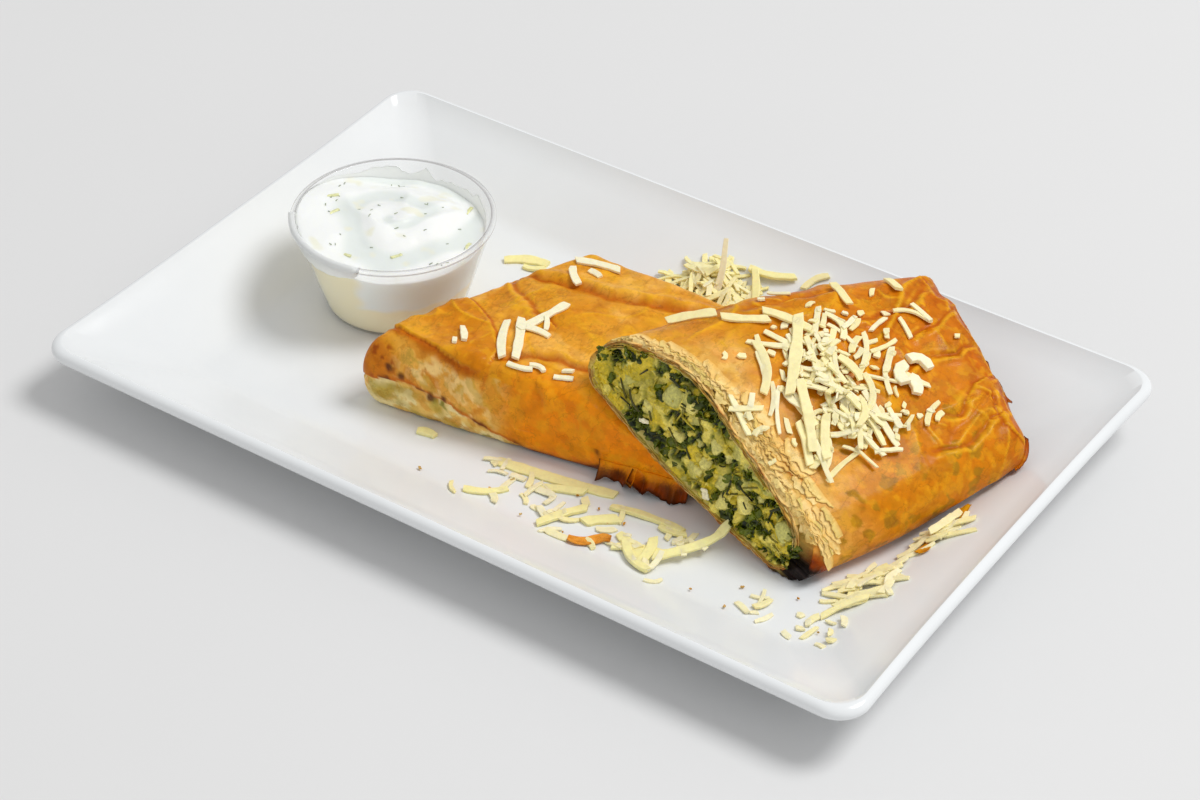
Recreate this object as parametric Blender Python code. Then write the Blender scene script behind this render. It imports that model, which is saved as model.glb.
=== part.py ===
"""Spanakopita pie, plated: a filo pie cut into two halves on a rectangular plate with a sloping rim.

The rear half lies flat in the plate's well. The front half leans on it, with its cut face open to
the front, so that it rests on the well, on the rear half and on the rim. A small clear cup of
yoghurt dip stands at the left, and grated cheese lies in three heaps: on the front half, behind
the rear half and beside the front half.

The origin is under the middle of the plate, X runs along the plate's long side, Y to the back
and Z up. Everything is in metres.
"""

import math

import bmesh
import bpy
from mathutils import Matrix, Vector

GAP = 0.0003  # between pieces that touch

# Plate
PLATE_LENGTH = 0.330
PLATE_WIDTH = 0.2100
PLATE_HEIGHT = 0.023
PLATE_CORNER = 0.011  # radius of the outline's corners
PLATE_BOW = 0.0013  # how far the short sides draw in half way along
RIM_WIDTH = 0.037  # from the outline to the foot of the slope
WELL_FLOOR = 0.005  # height of the well's flat floor
WELL_CORNER = 0.0095
WELL_FILLET = 0.004  # reach of the bend between rim and well, to either side
WELL_FILLET_DROP = 0.3  # how high the bend's middle stays, as a share of its start
LIP_THICKNESS = 0.0055
LIP_STEPS = 6
FOOT_INSET = 0.043  # from the outline to the foot ring
FOOT_WIDTH = 0.005
FOOT_HEIGHT = 0.0016  # on the foot ring's outer side
FOOT_SLANT = 0.0025  # how far its outer side leans
FOOT_RECESS = 0.0015  # how far the base stands clear inside the foot ring

# Cup and dip
CUP_CENTRE = Vector((-0.0957, 0.0091))
CUP_FOOT = WELL_FLOOR + GAP
CUP_HEIGHT = 0.036
CUP_LIP_RADIUS = 0.0372
CUP_BASE_RADIUS = 0.026
CUP_BASE_ROUND = 0.0015
CUP_WALL = 0.001
CUP_BEAD_REACH = 0.0012  # how far the bead round the lip stands out from the wall
CUP_BEAD_DEPTH = 0.0018
CUP_BEAD_ROUND = 0.0004
CUP_SEGMENTS = 32
CUP_ANGLES = [2 * math.pi * step / CUP_SEGMENTS for step in range(CUP_SEGMENTS)]
DIP_DROP = 0.0072  # from the lip down to the dip's edge on its low side
DIP_MOUND = 0.0060  # how much higher the spooned middle is
DIP_CLIMB = 0.0072  # how much higher the edge is where it was wiped up the wall
DIP_SWIRL = 0.0009
DIP_WIPED_SIDE = math.radians(205)
DIP_RINGS = 7

# Both halves of the pie
CRUST_TOP = 0.0032
CRUST_SIDE = 0.0022
CRUST_BASE = 0.0018
BELT_SHARE = 0.38  # height of a half's widest level, as a share of its thickness
BASE_ROUND_SHARE = 0.5  # how round its lower edges are, as a share of its upper ones
STATIONS = 15
COLUMNS = 16

# Heaps of grated cheese
HEAP_RINGS = 4
HEAP_SEGMENTS = 24
HEAP_EDGE = 0.0012  # a shred lying flat
HEAP_LOBES = 0.10  # how far the outline's lobes stand out, as a share of its reach
HEAP_RIPPLES = 0.07
HEAP_BUMPS = 0.35  # how uneven its height is, as a share of it

# Rear half, in its own frame: u from its cut end to its folded end, v from its back to its front
REAR_ORIGIN = Vector((0.0505, 0.0452, WELL_FLOOR + GAP))
REAR_TURN = math.radians(180)

# Front half: it stands on these three points, at its cut's foot, its cut's far corner and its rim corner
FRONT_CUT_FOOT = Vector((0.1012, -0.0435, WELL_FLOOR + GAP))
FRONT_CUT_LEAN = Vector((0.0130, -0.0255, 0.0365))
FRONT_RIM_CORNER = Vector((0.1395, 0.0425, 0.0108))
FRONT_BELLY = 0.0035  # how far its base sags below those points along the cut
FRONT_BELLY_LENGTH = 0.060


def mix(a, b, share):
    return a + (b - a) * share


def clamp(value, low=0.0, high=1.0):
    return max(low, min(high, value))


def along(values, share):
    """A smooth curve through evenly spaced values, read at a share of its length."""
    last = len(values) - 1
    place = clamp(share) * last
    index = min(int(place), last - 1)
    t = place - index
    before = values[max(index - 1, 0)]
    start = values[index]
    end = values[index + 1]
    after = values[min(index + 2, last)]
    return start + 0.5 * t * (
        (end - before)
        + t * ((2 * before - 5 * start + 4 * end - after) + t * (3 * (start - end) + after - before))
    )


def material(name, colour, roughness, transmission=0.0):
    """A plain Principled material in the part's own colour."""
    made = bpy.data.materials.new(name)
    made.diffuse_color = (*colour, 1)
    made.use_nodes = True
    shader = made.node_tree.nodes["Principled BSDF"]
    shader.inputs["Base Color"].default_value = (*colour, 1)
    shader.inputs["Roughness"].default_value = roughness
    shader.inputs["Metallic"].default_value = 0
    shader.inputs["Transmission Weight"].default_value = transmission
    return made


def add_object(name, bm, finish, place=None, sharp_angle=50):
    """The finished mesh as a named, smooth-shaded object."""
    bmesh.ops.remove_doubles(bm, verts=bm.verts, dist=1e-6)
    bmesh.ops.dissolve_degenerate(bm, edges=bm.edges, dist=1e-6)
    bmesh.ops.recalc_face_normals(bm, faces=bm.faces)
    mesh = bpy.data.meshes.new(name)
    bm.to_mesh(mesh)
    bm.free()
    mesh.shade_smooth()
    mesh.set_sharp_from_angle(angle=math.radians(sharp_angle))
    mesh.materials.append(finish)
    obj = bpy.data.objects.new(name, mesh)
    if place is not None:
        obj.matrix_world = place
    bpy.context.scene.collection.objects.link(obj)
    return obj


def add_loop(bm, points):
    return [bm.verts.new(point) for point in points]


def skin_loops(bm, loops):
    """Faces between each closed loop of vertices and the next, which has as many."""
    for lower, upper in zip(loops, loops[1:]):
        count = len(lower)
        for i in range(count):
            j = (i + 1) % count
            bm.faces.new((lower[i], lower[j], upper[j], upper[i]))


def fan(bm, loop, tip):
    """Faces from a closed loop of vertices to a point in its middle."""
    middle = bm.verts.new(tip)
    for i in range(len(loop)):
        bm.faces.new((loop[i], loop[(i + 1) % len(loop)], middle))


def skin_grid(bm, rows):
    """Faces over a grid of vertices given as rows."""
    for row, following in zip(rows, rows[1:]):
        for i in range(len(row) - 1):
            bm.faces.new((row[i], row[i + 1], following[i + 1], following[i]))


# ---------------------------------------------------------------- plate


RIM_RISE = (PLATE_HEIGHT - WELL_FLOOR) / RIM_WIDTH
RIM_SLOPE = [  # (inset, height) down the upper side of the rim, to where the well is flat
    (LIP_THICKNESS, PLATE_HEIGHT - RIM_RISE * LIP_THICKNESS),
    (RIM_WIDTH - WELL_FILLET, WELL_FLOOR + RIM_RISE * WELL_FILLET),
    (RIM_WIDTH, WELL_FLOOR + RIM_RISE * WELL_FILLET * WELL_FILLET_DROP),
    (RIM_WIDTH + WELL_FILLET, WELL_FLOOR),
]


def plate_surface(x, y):
    """Height of the plate's upper surface, inside its lip."""
    inset = min(PLATE_LENGTH / 2 - abs(x), PLATE_WIDTH / 2 - abs(y))
    for (outer, high), (inner, low) in zip(RIM_SLOPE, RIM_SLOPE[1:]):
        if inset <= inner:
            return mix(high, low, clamp((inset - outer) / (inner - outer)))
    return WELL_FLOOR


def plate_loop(inset, height, corner_steps=5):
    """The plate's outline moved inwards, its corner radius passing from the outline's to the well's."""
    half_length = PLATE_LENGTH / 2 - inset
    half_width = PLATE_WIDTH / 2 - inset
    to_well = clamp(inset / RIM_WIDTH)
    radius = mix(PLATE_CORNER, WELL_CORNER, to_well)
    points = []
    for quarter, (side_x, side_y) in enumerate(((1, 1), (-1, 1), (-1, -1), (1, -1))):
        corner = []
        for step in range(corner_steps + 1):
            angle = math.radians(90 * (quarter + step / corner_steps))
            x = side_x * (half_length - radius) + radius * math.cos(angle)
            y = side_y * (half_width - radius) + radius * math.sin(angle)
            corner.append((x, y))
        middle_of_side = (side_x * half_length, 0)
        quarter_points = [(side_x * half_length, side_y * half_width * share) for share in (0.3, 0.65)]
        if side_x == side_y:
            points += [middle_of_side] + quarter_points + corner
        else:
            points += corner + quarter_points[::-1]
    bowed = []
    for x, y in points:
        bow = PLATE_BOW * (1 - to_well) * (1 - clamp(abs(y) / (half_width - radius)) ** 3)
        bowed.append((x - math.copysign(bow, x), y, height))
    return bowed


def plate_profile():
    """(inset, height) from the middle of the base, out under the rim, round the lip and down to the well."""
    half = LIP_THICKNESS / 2
    lip_middle = PLATE_HEIGHT - half
    profile = [
        (FOOT_INSET + FOOT_WIDTH + FOOT_RECESS, FOOT_RECESS),
        (FOOT_INSET + FOOT_WIDTH, 0),
        (FOOT_INSET, 0),
        (FOOT_INSET - FOOT_SLANT, FOOT_HEIGHT),
    ]
    for step in range(LIP_STEPS + 1):
        angle = math.pi * (step / LIP_STEPS - 0.5)
        profile.append((half * (1 - math.cos(angle)), lip_middle + half * math.sin(angle)))
    return profile + RIM_SLOPE


def add_plate():
    bm = bmesh.new()
    loops = [add_loop(bm, plate_loop(inset, height)) for inset, height in plate_profile()]
    skin_loops(bm, loops)
    bm.faces.new(loops[0])
    bm.faces.new(loops[-1])
    add_object("plate", bm, material("white_glaze", (0.86, 0.87, 0.88), 0.12), sharp_angle=30)


# ---------------------------------------------------------------- cup of dip


def cup_bore(height):
    """Inner radius of the cup at a height above its foot."""
    return mix(CUP_BASE_RADIUS, CUP_LIP_RADIUS - CUP_BEAD_REACH, height / CUP_HEIGHT) - CUP_WALL


def cup_point(radius, angle, height):
    """A point round the cup's axis, at a height above its foot."""
    x = CUP_CENTRE.x + radius * math.cos(angle)
    y = CUP_CENTRE.y + radius * math.sin(angle)
    return (x, y, CUP_FOOT + height)


def add_cup():
    lip_foot = CUP_HEIGHT - CUP_BEAD_DEPTH
    profile = [
        (CUP_BASE_RADIUS - CUP_BASE_ROUND, 0),
        (CUP_BASE_RADIUS, CUP_BASE_ROUND),
        (CUP_LIP_RADIUS - CUP_BEAD_REACH, lip_foot),
        (CUP_LIP_RADIUS, lip_foot + CUP_BEAD_ROUND),
        (CUP_LIP_RADIUS, CUP_HEIGHT - CUP_BEAD_ROUND),
        (CUP_LIP_RADIUS - CUP_BEAD_ROUND, CUP_HEIGHT),
        (cup_bore(CUP_HEIGHT), CUP_HEIGHT),
        (cup_bore(CUP_WALL), CUP_WALL),
    ]
    bm = bmesh.new()
    rings = []
    for radius, height in profile:
        rings.append(add_loop(bm, [cup_point(radius, angle, height) for angle in CUP_ANGLES]))
    skin_loops(bm, rings)
    bm.faces.new(rings[0])
    bm.faces.new(rings[-1])
    add_object("dip_cup", bm, material("clear_plastic", (0.95, 0.95, 0.95), 0.08, 1.0), sharp_angle=40)


def dip_level(share, angle):
    """Height of the dip above the cup's foot, at a share of its radius and an angle round it."""
    edge = CUP_HEIGHT - DIP_DROP
    climb = DIP_CLIMB * clamp(math.cos(angle - DIP_WIPED_SIDE)) ** 1.5 * share**2
    mound = DIP_MOUND * (1 - share**2) ** 1.5
    swirl = DIP_SWIRL * math.sin(3 * math.pi * share - angle) * math.sin(math.pi * share)
    return edge + climb + mound + swirl


def add_dip():
    base = CUP_WALL + GAP
    bm = bmesh.new()
    rings = [add_loop(bm, [cup_point(cup_bore(base) - GAP, angle, base) for angle in CUP_ANGLES])]
    for k in range(DIP_RINGS, 0, -1):
        share = k / DIP_RINGS
        ring = []
        for angle in CUP_ANGLES:
            radius = share * (cup_bore(dip_level(1, angle)) - 2 * GAP)
            ring.append(cup_point(radius, angle, dip_level(share, angle)))
        rings.append(add_loop(bm, ring))
    skin_loops(bm, rings)
    bm.faces.new(rings[0])
    fan(bm, rings[-1], cup_point(0, 0, dip_level(0, 0)))
    add_object("dip", bm, material("yoghurt", (0.86, 0.92, 0.85), 0.35))


# ---------------------------------------------------------------- the pie's two halves


def front_frame():
    """Placement of the front half: u into the pie, v along its cut, w out of its base."""
    v_axis = (FRONT_CUT_LEAN - FRONT_CUT_FOOT).normalized()
    across = FRONT_RIM_CORNER - FRONT_CUT_FOOT
    u_axis = (across - across.dot(v_axis) * v_axis).normalized()
    w_axis = u_axis.cross(v_axis)
    place = Matrix((u_axis, v_axis, w_axis)).transposed().to_4x4()
    place.translation = FRONT_CUT_FOOT
    return place


FRONT_PLACE = front_frame()
REAR_PLACE = Matrix.Translation(REAR_ORIGIN) @ Matrix.Rotation(REAR_TURN, 4, "Z")


def front_sag(u, v):
    """How far the front half's base hangs below its plane."""
    width = (FRONT_CUT_LEAN - FRONT_CUT_FOOT).length
    return FRONT_BELLY * math.sin(math.pi * clamp(v / width)) * clamp(1 - u / FRONT_BELLY_LENGTH) ** 2


def under_front(x, y):
    """Height of the front half's base over a point of the plate."""
    a, b = FRONT_PLACE[0][0], FRONT_PLACE[0][1]
    c, d = FRONT_PLACE[1][0], FRONT_PLACE[1][1]
    dx = x - FRONT_CUT_FOOT.x
    dy = y - FRONT_CUT_FOOT.y
    scale = a * d - b * c
    u = (dx * d - dy * b) / scale
    v = (dy * a - dx * c) / scale
    return (FRONT_PLACE @ Vector((u, v, -front_sag(u, v)))).z


class Half:
    """One half of the pie in its own frame, open at its cut and folded shut at its far end.

    side_low and side_high are the (u, v) points of its two long sides, from the cut to the far end.
    heights holds rows of thicknesses across the half, at the cut, half way and at the far end.
    corner_fold is the extra pastry folded into the cut's corner on the low side, and lean is how far
    the cut face leans back for each metre of height.
    """

    def __init__(self, place, side_low, side_high, heights, edge_radius, corner_radius, corner_fold, lean):
        self.place = place
        self.side_low = [Vector(point) for point in side_low]
        self.side_high = [Vector(point) for point in side_high]
        self.heights = heights
        self.edge_radius = edge_radius
        self.corner_radius = corner_radius
        self.corner_fold = corner_fold
        self.lean = lean

    def thickness(self, s, q):
        return along([along(row, q) for row in self.heights], s)

    def highest(self, u, v):
        """The most that the top may rise at a point of the half's plan."""
        return math.inf

    def lowest(self, u, v):
        """The height of the base at a point of the half's plan."""
        return 0.0

    def section(self, s, q, skin_top, skin_side, skin_base):
        """The top and the bottom point at shares s of the length and q of the width, inside a skin."""
        low = along(self.side_low, s)
        high = along(self.side_high, s)
        width = (high - low).length
        length = (self.side_low[-1] - self.side_low[0]).length
        to_end = (1 - s) * length
        corner = self.corner_radius
        near_end = clamp(corner - to_end, 0, corner)
        cut_in = corner - math.sqrt(corner**2 - near_end**2)
        from_side = mix(cut_in, width - cut_in, q)
        side = min(from_side, width - from_side)
        if side < corner and to_end < corner:
            edge = corner - math.hypot(corner - side, corner - to_end)
        else:
            edge = min(side, to_end)
        fold = self.corner_fold * (1 - s) ** 5 if skin_side else 0
        from_side = mix(skin_side + fold, width - skin_side, from_side / width)
        plan = mix(low, high, from_side / width)
        inwards = (mix(self.side_low[0], self.side_high[0], q) - plan).normalized()
        plan = plan + inwards * skin_side * s
        rounding = clamp(edge / self.edge_radius)
        dome = math.sqrt(1 - (1 - rounding) ** 2)
        base_rounding = clamp(edge / (BASE_ROUND_SHARE * self.edge_radius))
        base_dome = math.sqrt(1 - (1 - base_rounding) ** 2)
        full = self.thickness(s, q)
        belt = BELT_SHARE * full
        top = mix(belt, full - skin_top, dome)
        bottom = mix(belt, self.lowest(plan.x, plan.y) + skin_base, base_dome)
        top = min(top, self.highest(plan.x, plan.y) - skin_top)
        slope = self.lean * (1 - s) ** 2
        return (
            Vector((plan.x + slope * top, plan.y, top)),
            Vector((plan.x + slope * bottom, plan.y, bottom)),
        )

    def surface(self, bm, skin_top=0.0, skin_side=0.0, skin_base=0.0):
        """The half's skin, open at its cut. It returns the rows of top and bottom vertices at the cut."""
        tops = []
        bottoms = []
        for i in range(STATIONS + 1):
            s = math.sin(0.5 * math.pi * i / STATIONS)
            top_row = []
            bottom_row = []
            for j in range(COLUMNS + 1):
                q = 0.5 - 0.5 * math.cos(math.pi * j / COLUMNS)
                top, bottom = self.section(s, q, skin_top, skin_side, skin_base)
                top_row.append(bm.verts.new(top))
                bottom_row.append(bm.verts.new(bottom))
            tops.append(top_row)
            bottoms.append(bottom_row)
        skin_grid(bm, tops)
        skin_grid(bm, bottoms)
        return tops[0], bottoms[0]


def add_crust(name, half, finish):
    """The pastry case: outer skin, inner skin, and the ring of cut pastry between them."""
    bm = bmesh.new()
    outer_top, outer_bottom = half.surface(bm)
    inner_top, inner_bottom = half.surface(bm, CRUST_TOP, CRUST_SIDE, CRUST_BASE)
    outer = outer_top + outer_bottom[::-1]
    inner = inner_top + inner_bottom[::-1]
    skin_loops(bm, [outer, inner])
    add_object(name, bm, finish, half.place)


def add_filling(name, half, finish):
    """The spinach and cheese inside, which fills the case up to the cut."""
    bm = bmesh.new()
    top, bottom = half.surface(bm, CRUST_TOP + GAP, CRUST_SIDE + GAP, CRUST_BASE + GAP)
    skin_grid(bm, [top, bottom])
    add_object(name, bm, finish, half.place)


class RearHalf(Half):
    def highest(self, u, v):
        """It is pressed down where the front half lies on it."""
        over = self.place @ Vector((u, v, 0))
        return under_front(over.x, over.y) - 2 * GAP - over.z


class FrontHalf(Half):
    def lowest(self, u, v):
        """Its base sags along the cut, and stays on the plate's floor and rim."""
        over = self.place @ Vector((u, v, 0))
        lift = (plate_surface(over.x, over.y) + GAP - over.z) / self.place[2][2]
        return max(-front_sag(u, v), lift)


def rear_half():
    return RearHalf(
        REAR_PLACE,
        side_low=((0.000, 0.000), (0.028, 0.0005), (0.056, 0.0005), (0.083, -0.0005)),
        side_high=((-0.007, 0.073), (0.035, 0.0815), (0.078, 0.0890), (0.1205, 0.0945)),
        heights=((0.027, 0.029, 0.029, 0.027), (0.029, 0.032, 0.032, 0.030), (0.027, 0.029, 0.030, 0.029)),
        edge_radius=0.008,
        corner_radius=0.008,
        corner_fold=0.0,
        lean=0.0,
    )


def front_half():
    return FrontHalf(
        FRONT_PLACE,
        side_low=((0.001, -0.0085), (0.033, -0.0150), (0.066, -0.0185), (0.099, -0.0205)),
        side_high=((0.000, 0.0978), (0.039, 0.0850), (0.080, 0.0715), (0.121, 0.0540)),
        heights=((0.020, 0.027, 0.033, 0.022), (0.020, 0.026, 0.030, 0.025), (0.015, 0.018, 0.019, 0.016)),
        edge_radius=0.012,
        corner_radius=0.009,
        corner_fold=0.006,
        lean=0.36,
    )


def add_halves():
    baked = (0.72, 0.33, 0.05)
    green = (0.20, 0.26, 0.06)
    rear = rear_half()
    front = front_half()
    add_crust("rear_crust", rear, material("rear_filo", baked, 0.4))
    add_filling("rear_filling", rear, material("rear_spinach", green, 0.5))
    add_crust("front_crust", front, material("front_filo", baked, 0.4))
    add_filling("front_filling", front, material("front_spinach", green, 0.5))


# ---------------------------------------------------------------- grated cheese


def add_heap(name, surface, height, lobes, finish, place=None):
    """A low heap with an uneven outline.

    surface(a, b) is a point of what it lies on, for a and b up to 1 from the heap's middle, and
    lobes is how many bulges go round its outline.
    """
    bm = bmesh.new()
    rings_below = []
    rings_above = []
    for k in range(HEAP_RINGS, 0, -1):
        share = k / HEAP_RINGS
        below = []
        above = []
        for step in range(HEAP_SEGMENTS):
            angle = 2 * math.pi * step / HEAP_SEGMENTS
            outline = HEAP_LOBES * math.sin(lobes * angle) + HEAP_RIPPLES * math.sin((lobes + 2) * angle + 1)
            reach = share * (1 + outline)
            point = surface(reach * math.cos(angle), reach * math.sin(angle))
            bumps = 1 + HEAP_BUMPS * share * math.sin((lobes - 1) * angle + 4 * share)
            rise = HEAP_EDGE + (height - HEAP_EDGE) * (1 - share**2) * bumps
            below.append(point + Vector((0, 0, 2 * GAP)))
            above.append(point + Vector((0, 0, 2 * GAP + rise)))
        rings_below.append(add_loop(bm, below))
        rings_above.append(add_loop(bm, above))
    skin_loops(bm, rings_below[::-1] + rings_above)
    middle = surface(0, 0)
    fan(bm, rings_below[-1], middle + Vector((0, 0, 2 * GAP)))
    fan(bm, rings_above[-1], middle + Vector((0, 0, 2 * GAP + height)))
    add_object(name, bm, finish, place)


def plate_patch(centre, half_length, half_width, turn=0.0):
    """The plate's surface round a point, for a heap of that size turned by that angle."""

    def surface(a, b):
        along_heap = a * half_length
        across_heap = b * half_width
        x = centre[0] + along_heap * math.cos(turn) - across_heap * math.sin(turn)
        y = centre[1] + along_heap * math.sin(turn) + across_heap * math.cos(turn)
        return Vector((x, y, plate_surface(x, y)))

    return surface


def half_patch(half, middle_s, middle_q, reach_s, reach_q):
    """The top of a half round a point, given as shares of its length and its width."""

    def surface(a, b):
        return half.section(middle_s + a * reach_s, middle_q + b * reach_q, 0, 0, 0)[0]

    return surface


def add_cheese():
    cheese = (0.90, 0.78, 0.42)
    on_front = half_patch(front_half(), middle_s=0.36, middle_q=0.55, reach_s=0.17, reach_q=0.35)
    behind = plate_patch((0.002, 0.070), 0.022, 0.016)
    beside = plate_patch((0.1312, -0.0215), 0.023, 0.0075, math.radians(85))
    add_heap("cheese_on_front", on_front, 0.0045, 5, material("front_cheese", cheese, 0.5), FRONT_PLACE)
    add_heap("cheese_behind", behind, 0.0070, 4, material("rear_cheese", cheese, 0.5))
    add_heap("cheese_beside", beside, 0.0050, 3, material("side_cheese", cheese, 0.5))


def main():
    for obj in list(bpy.data.objects):
        bpy.data.objects.remove(obj)
    add_plate()
    add_cup()
    add_dip()
    add_halves()
    add_cheese()


main()
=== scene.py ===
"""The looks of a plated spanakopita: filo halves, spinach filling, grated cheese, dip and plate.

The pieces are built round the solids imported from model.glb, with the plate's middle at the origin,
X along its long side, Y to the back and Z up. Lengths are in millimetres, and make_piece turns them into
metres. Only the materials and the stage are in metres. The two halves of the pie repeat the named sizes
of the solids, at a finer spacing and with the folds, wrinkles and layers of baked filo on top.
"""

import math

import bpy
import numpy as np
from mathutils import Matrix, Vector
from mathutils.bvhtree import BVHTree


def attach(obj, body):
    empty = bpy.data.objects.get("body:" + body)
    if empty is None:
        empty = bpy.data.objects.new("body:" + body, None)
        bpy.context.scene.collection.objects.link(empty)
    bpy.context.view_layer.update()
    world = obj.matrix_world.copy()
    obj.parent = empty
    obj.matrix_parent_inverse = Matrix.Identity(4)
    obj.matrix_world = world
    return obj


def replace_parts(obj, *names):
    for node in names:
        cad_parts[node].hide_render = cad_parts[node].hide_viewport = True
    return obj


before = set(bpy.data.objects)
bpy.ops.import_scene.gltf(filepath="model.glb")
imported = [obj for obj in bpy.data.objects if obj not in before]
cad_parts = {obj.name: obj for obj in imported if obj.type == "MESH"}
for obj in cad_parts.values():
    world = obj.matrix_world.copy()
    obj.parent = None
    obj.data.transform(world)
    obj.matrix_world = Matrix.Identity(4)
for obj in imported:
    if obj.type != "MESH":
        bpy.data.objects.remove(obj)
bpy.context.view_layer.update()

MM = 0.001
GAP = 0.3

# Plate
PLATE_LENGTH = 330
PLATE_WIDTH = 210
PLATE_HEIGHT = 23
PLATE_CORNER = 11
PLATE_BOW = 1.3
RIM_WIDTH = 37
WELL_FLOOR = 5
WELL_CORNER = 9.5
WELL_FILLET = 4
WELL_FILLET_DROP = 0.3
LIP_THICKNESS = 5.5
FOOT_INSET = 43
FOOT_WIDTH = 5
FOOT_HEIGHT = 1.6
FOOT_SLANT = 2.5
FOOT_RECESS = 1.5

# Cup and dip
CUP_CENTRE = np.array((-95.7, 9.1))
CUP_FOOT = WELL_FLOOR + GAP
CUP_HEIGHT = 36
CUP_LIP_RADIUS = 37.2
CUP_BASE_RADIUS = 26
CUP_BASE_ROUND = 1.5
CUP_WALL = 1.0
CUP_BEAD_REACH = 1.2
CUP_BEAD_DEPTH = 1.8
DIP_DROP = 7.2
DIP_MOUND = 6.0
DIP_CLIMB = 7.2
DIP_WIPED_SIDE = math.radians(205)

# Pie halves
CRUST = (3.2, 2.2, 1.8)  # thickness at its top, sides and base
BELT_SHARE = 0.38
BASE_ROUND_SHARE = 0.5
REAR_ORIGIN = Vector((50.5, 45.2, 5.3))
FRONT_CUT_FOOT = Vector((101.2, -43.5, 5.3))
FRONT_CUT_LEAN = Vector((13.0, -25.5, 36.5))
FRONT_RIM_CORNER = Vector((139.5, 42.5, 10.8))
FRONT_BELLY = 3.5
FRONT_BELLY_LENGTH = 60


# ---------------------------------------------------------------- numbers and noise

HASH = np.random.default_rng(11).permutation(256)
SLOPES = np.random.default_rng(12).normal(size=(256, 3))
SLOPES /= np.linalg.norm(SLOPES, axis=1)[:, None]


def mix(a, b, share):
    """From a to b by a share."""
    return a + (b - a) * share


def smooth(low, high, value):
    """0 at low, 1 at high, and a smooth step between; low may be the larger."""
    t = np.clip((value - low) / (high - low), 0, 1)
    return t * t * (3 - 2 * t)


def bell(distance, width):
    """1 at no distance, falling off on both sides."""
    return np.exp(-((distance / width) ** 2))


def noise(points, size, seed=0):
    """Smooth random values from about -1 to 1, in lumps about size across."""
    cells = np.asarray(points, float) / size + 19.37 * seed + 50
    low = np.floor(cells)
    t = cells - low
    low = low.astype(int)
    fade = t**3 * (t * (t * 6 - 15) + 10)
    share = np.stack((1 - fade, fade))
    total = np.zeros(cells.shape[:-1])
    for dx in (0, 1):
        hash_x = HASH[(low[..., 0] + dx) & 255]
        for dy in (0, 1):
            hash_y = HASH[(hash_x + low[..., 1] + dy) & 255]
            for dz in (0, 1):
                slope = SLOPES[HASH[(hash_y + low[..., 2] + dz) & 255]]
                weight = share[dx][..., 0] * share[dy][..., 1] * share[dz][..., 2]
                total += weight * (slope * (t - (dx, dy, dz))).sum(-1)
    return 1.9 * total


def layers(points, size, octaves=3, seed=0):
    """Noise with finer and fainter noise added to it."""
    return sum(noise(points, size / 2**k, seed + 3 * k) / 2**k for k in range(octaves)) / 1.5


def ridges(points, size, seed=0, sharp=2.0):
    """Narrow ridges, 1 along their crests and 0 between them."""
    return np.clip(1 - 2.2 * np.abs(noise(points, size, seed)), 0, 1) ** sharp


def shifted(points, reach, size, seed=0):
    """The points pushed about at random, so that patterns read at them wander."""
    return points + reach * np.stack([noise(points, size, seed + k) for k in range(3)], -1)


def lumps(points, size, seed=0):
    """Distance to the nearest of scattered middles, in sizes, and a random number for that one."""
    cells = np.asarray(points, float) / size
    low = np.floor(cells).astype(int)
    nearest = np.full(cells.shape[:-1], 9.0)
    number = np.zeros(cells.shape[:-1])
    for step in np.ndindex(3, 3, 3):
        cell = low + step - 1
        key = HASH[(HASH[(cell[..., 0] + seed) & 255] + cell[..., 1]) & 255]
        key = HASH[(key + cell[..., 2]) & 255]
        jitter = np.stack([HASH[(key + 71 * k) & 255] for k in (1, 2, 3)], -1) / 255
        distance = np.linalg.norm(cells - cell - jitter, axis=-1)
        closer = distance < nearest
        nearest = np.where(closer, distance, nearest)
        number = np.where(closer, HASH[(key + 17) & 255] / 255, number)
    return nearest, number


def along(values, share):
    """A smooth curve through evenly spaced values, read at shares of its length."""
    share = np.asarray(share, float)
    stack = np.stack([np.broadcast_to(np.asarray(value, float), share.shape) for value in values])
    last = len(stack) - 1
    place = np.clip(share, 0, 1) * last
    index = np.minimum(place.astype(int), last - 1)
    t = place - index

    def pick(step):
        return np.take_along_axis(stack, np.clip(index + step, 0, last)[None], 0)[0]

    before, start, end, after = pick(-1), pick(0), pick(1), pick(2)
    bend = 2 * before - 5 * start + 4 * end - after + t * (3 * (start - end) + after - before)
    return start + 0.5 * t * (end - before + t * bend)


def spread(rows, columns):
    """Two grids of numbers, one changing from row to row and one from column to column."""
    return np.meshgrid(rows, columns, indexing="ij")


def on_line(x, y=0, z=0):
    """Points from one row of numbers, to read noise along it."""
    return np.stack((x, y + 0 * x, z + 0 * x), -1)


def colour(red, green, blue):
    """A colour given as it looks on a screen, from 0 to 255, in linear light."""
    value = np.array((red, green, blue)) / 255
    return np.where(value <= 0.04045, value / 12.92, ((value + 0.055) / 1.055) ** 2.4)


def paint(base, *coats):
    """A colour with others laid over it in turn, each by a share at each point."""
    for over, share in coats:
        share = np.clip(share, 0, 1)[..., None]
        base = base * (1 - share) + over * share
    return base


# ---------------------------------------------------------------- meshes


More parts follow.
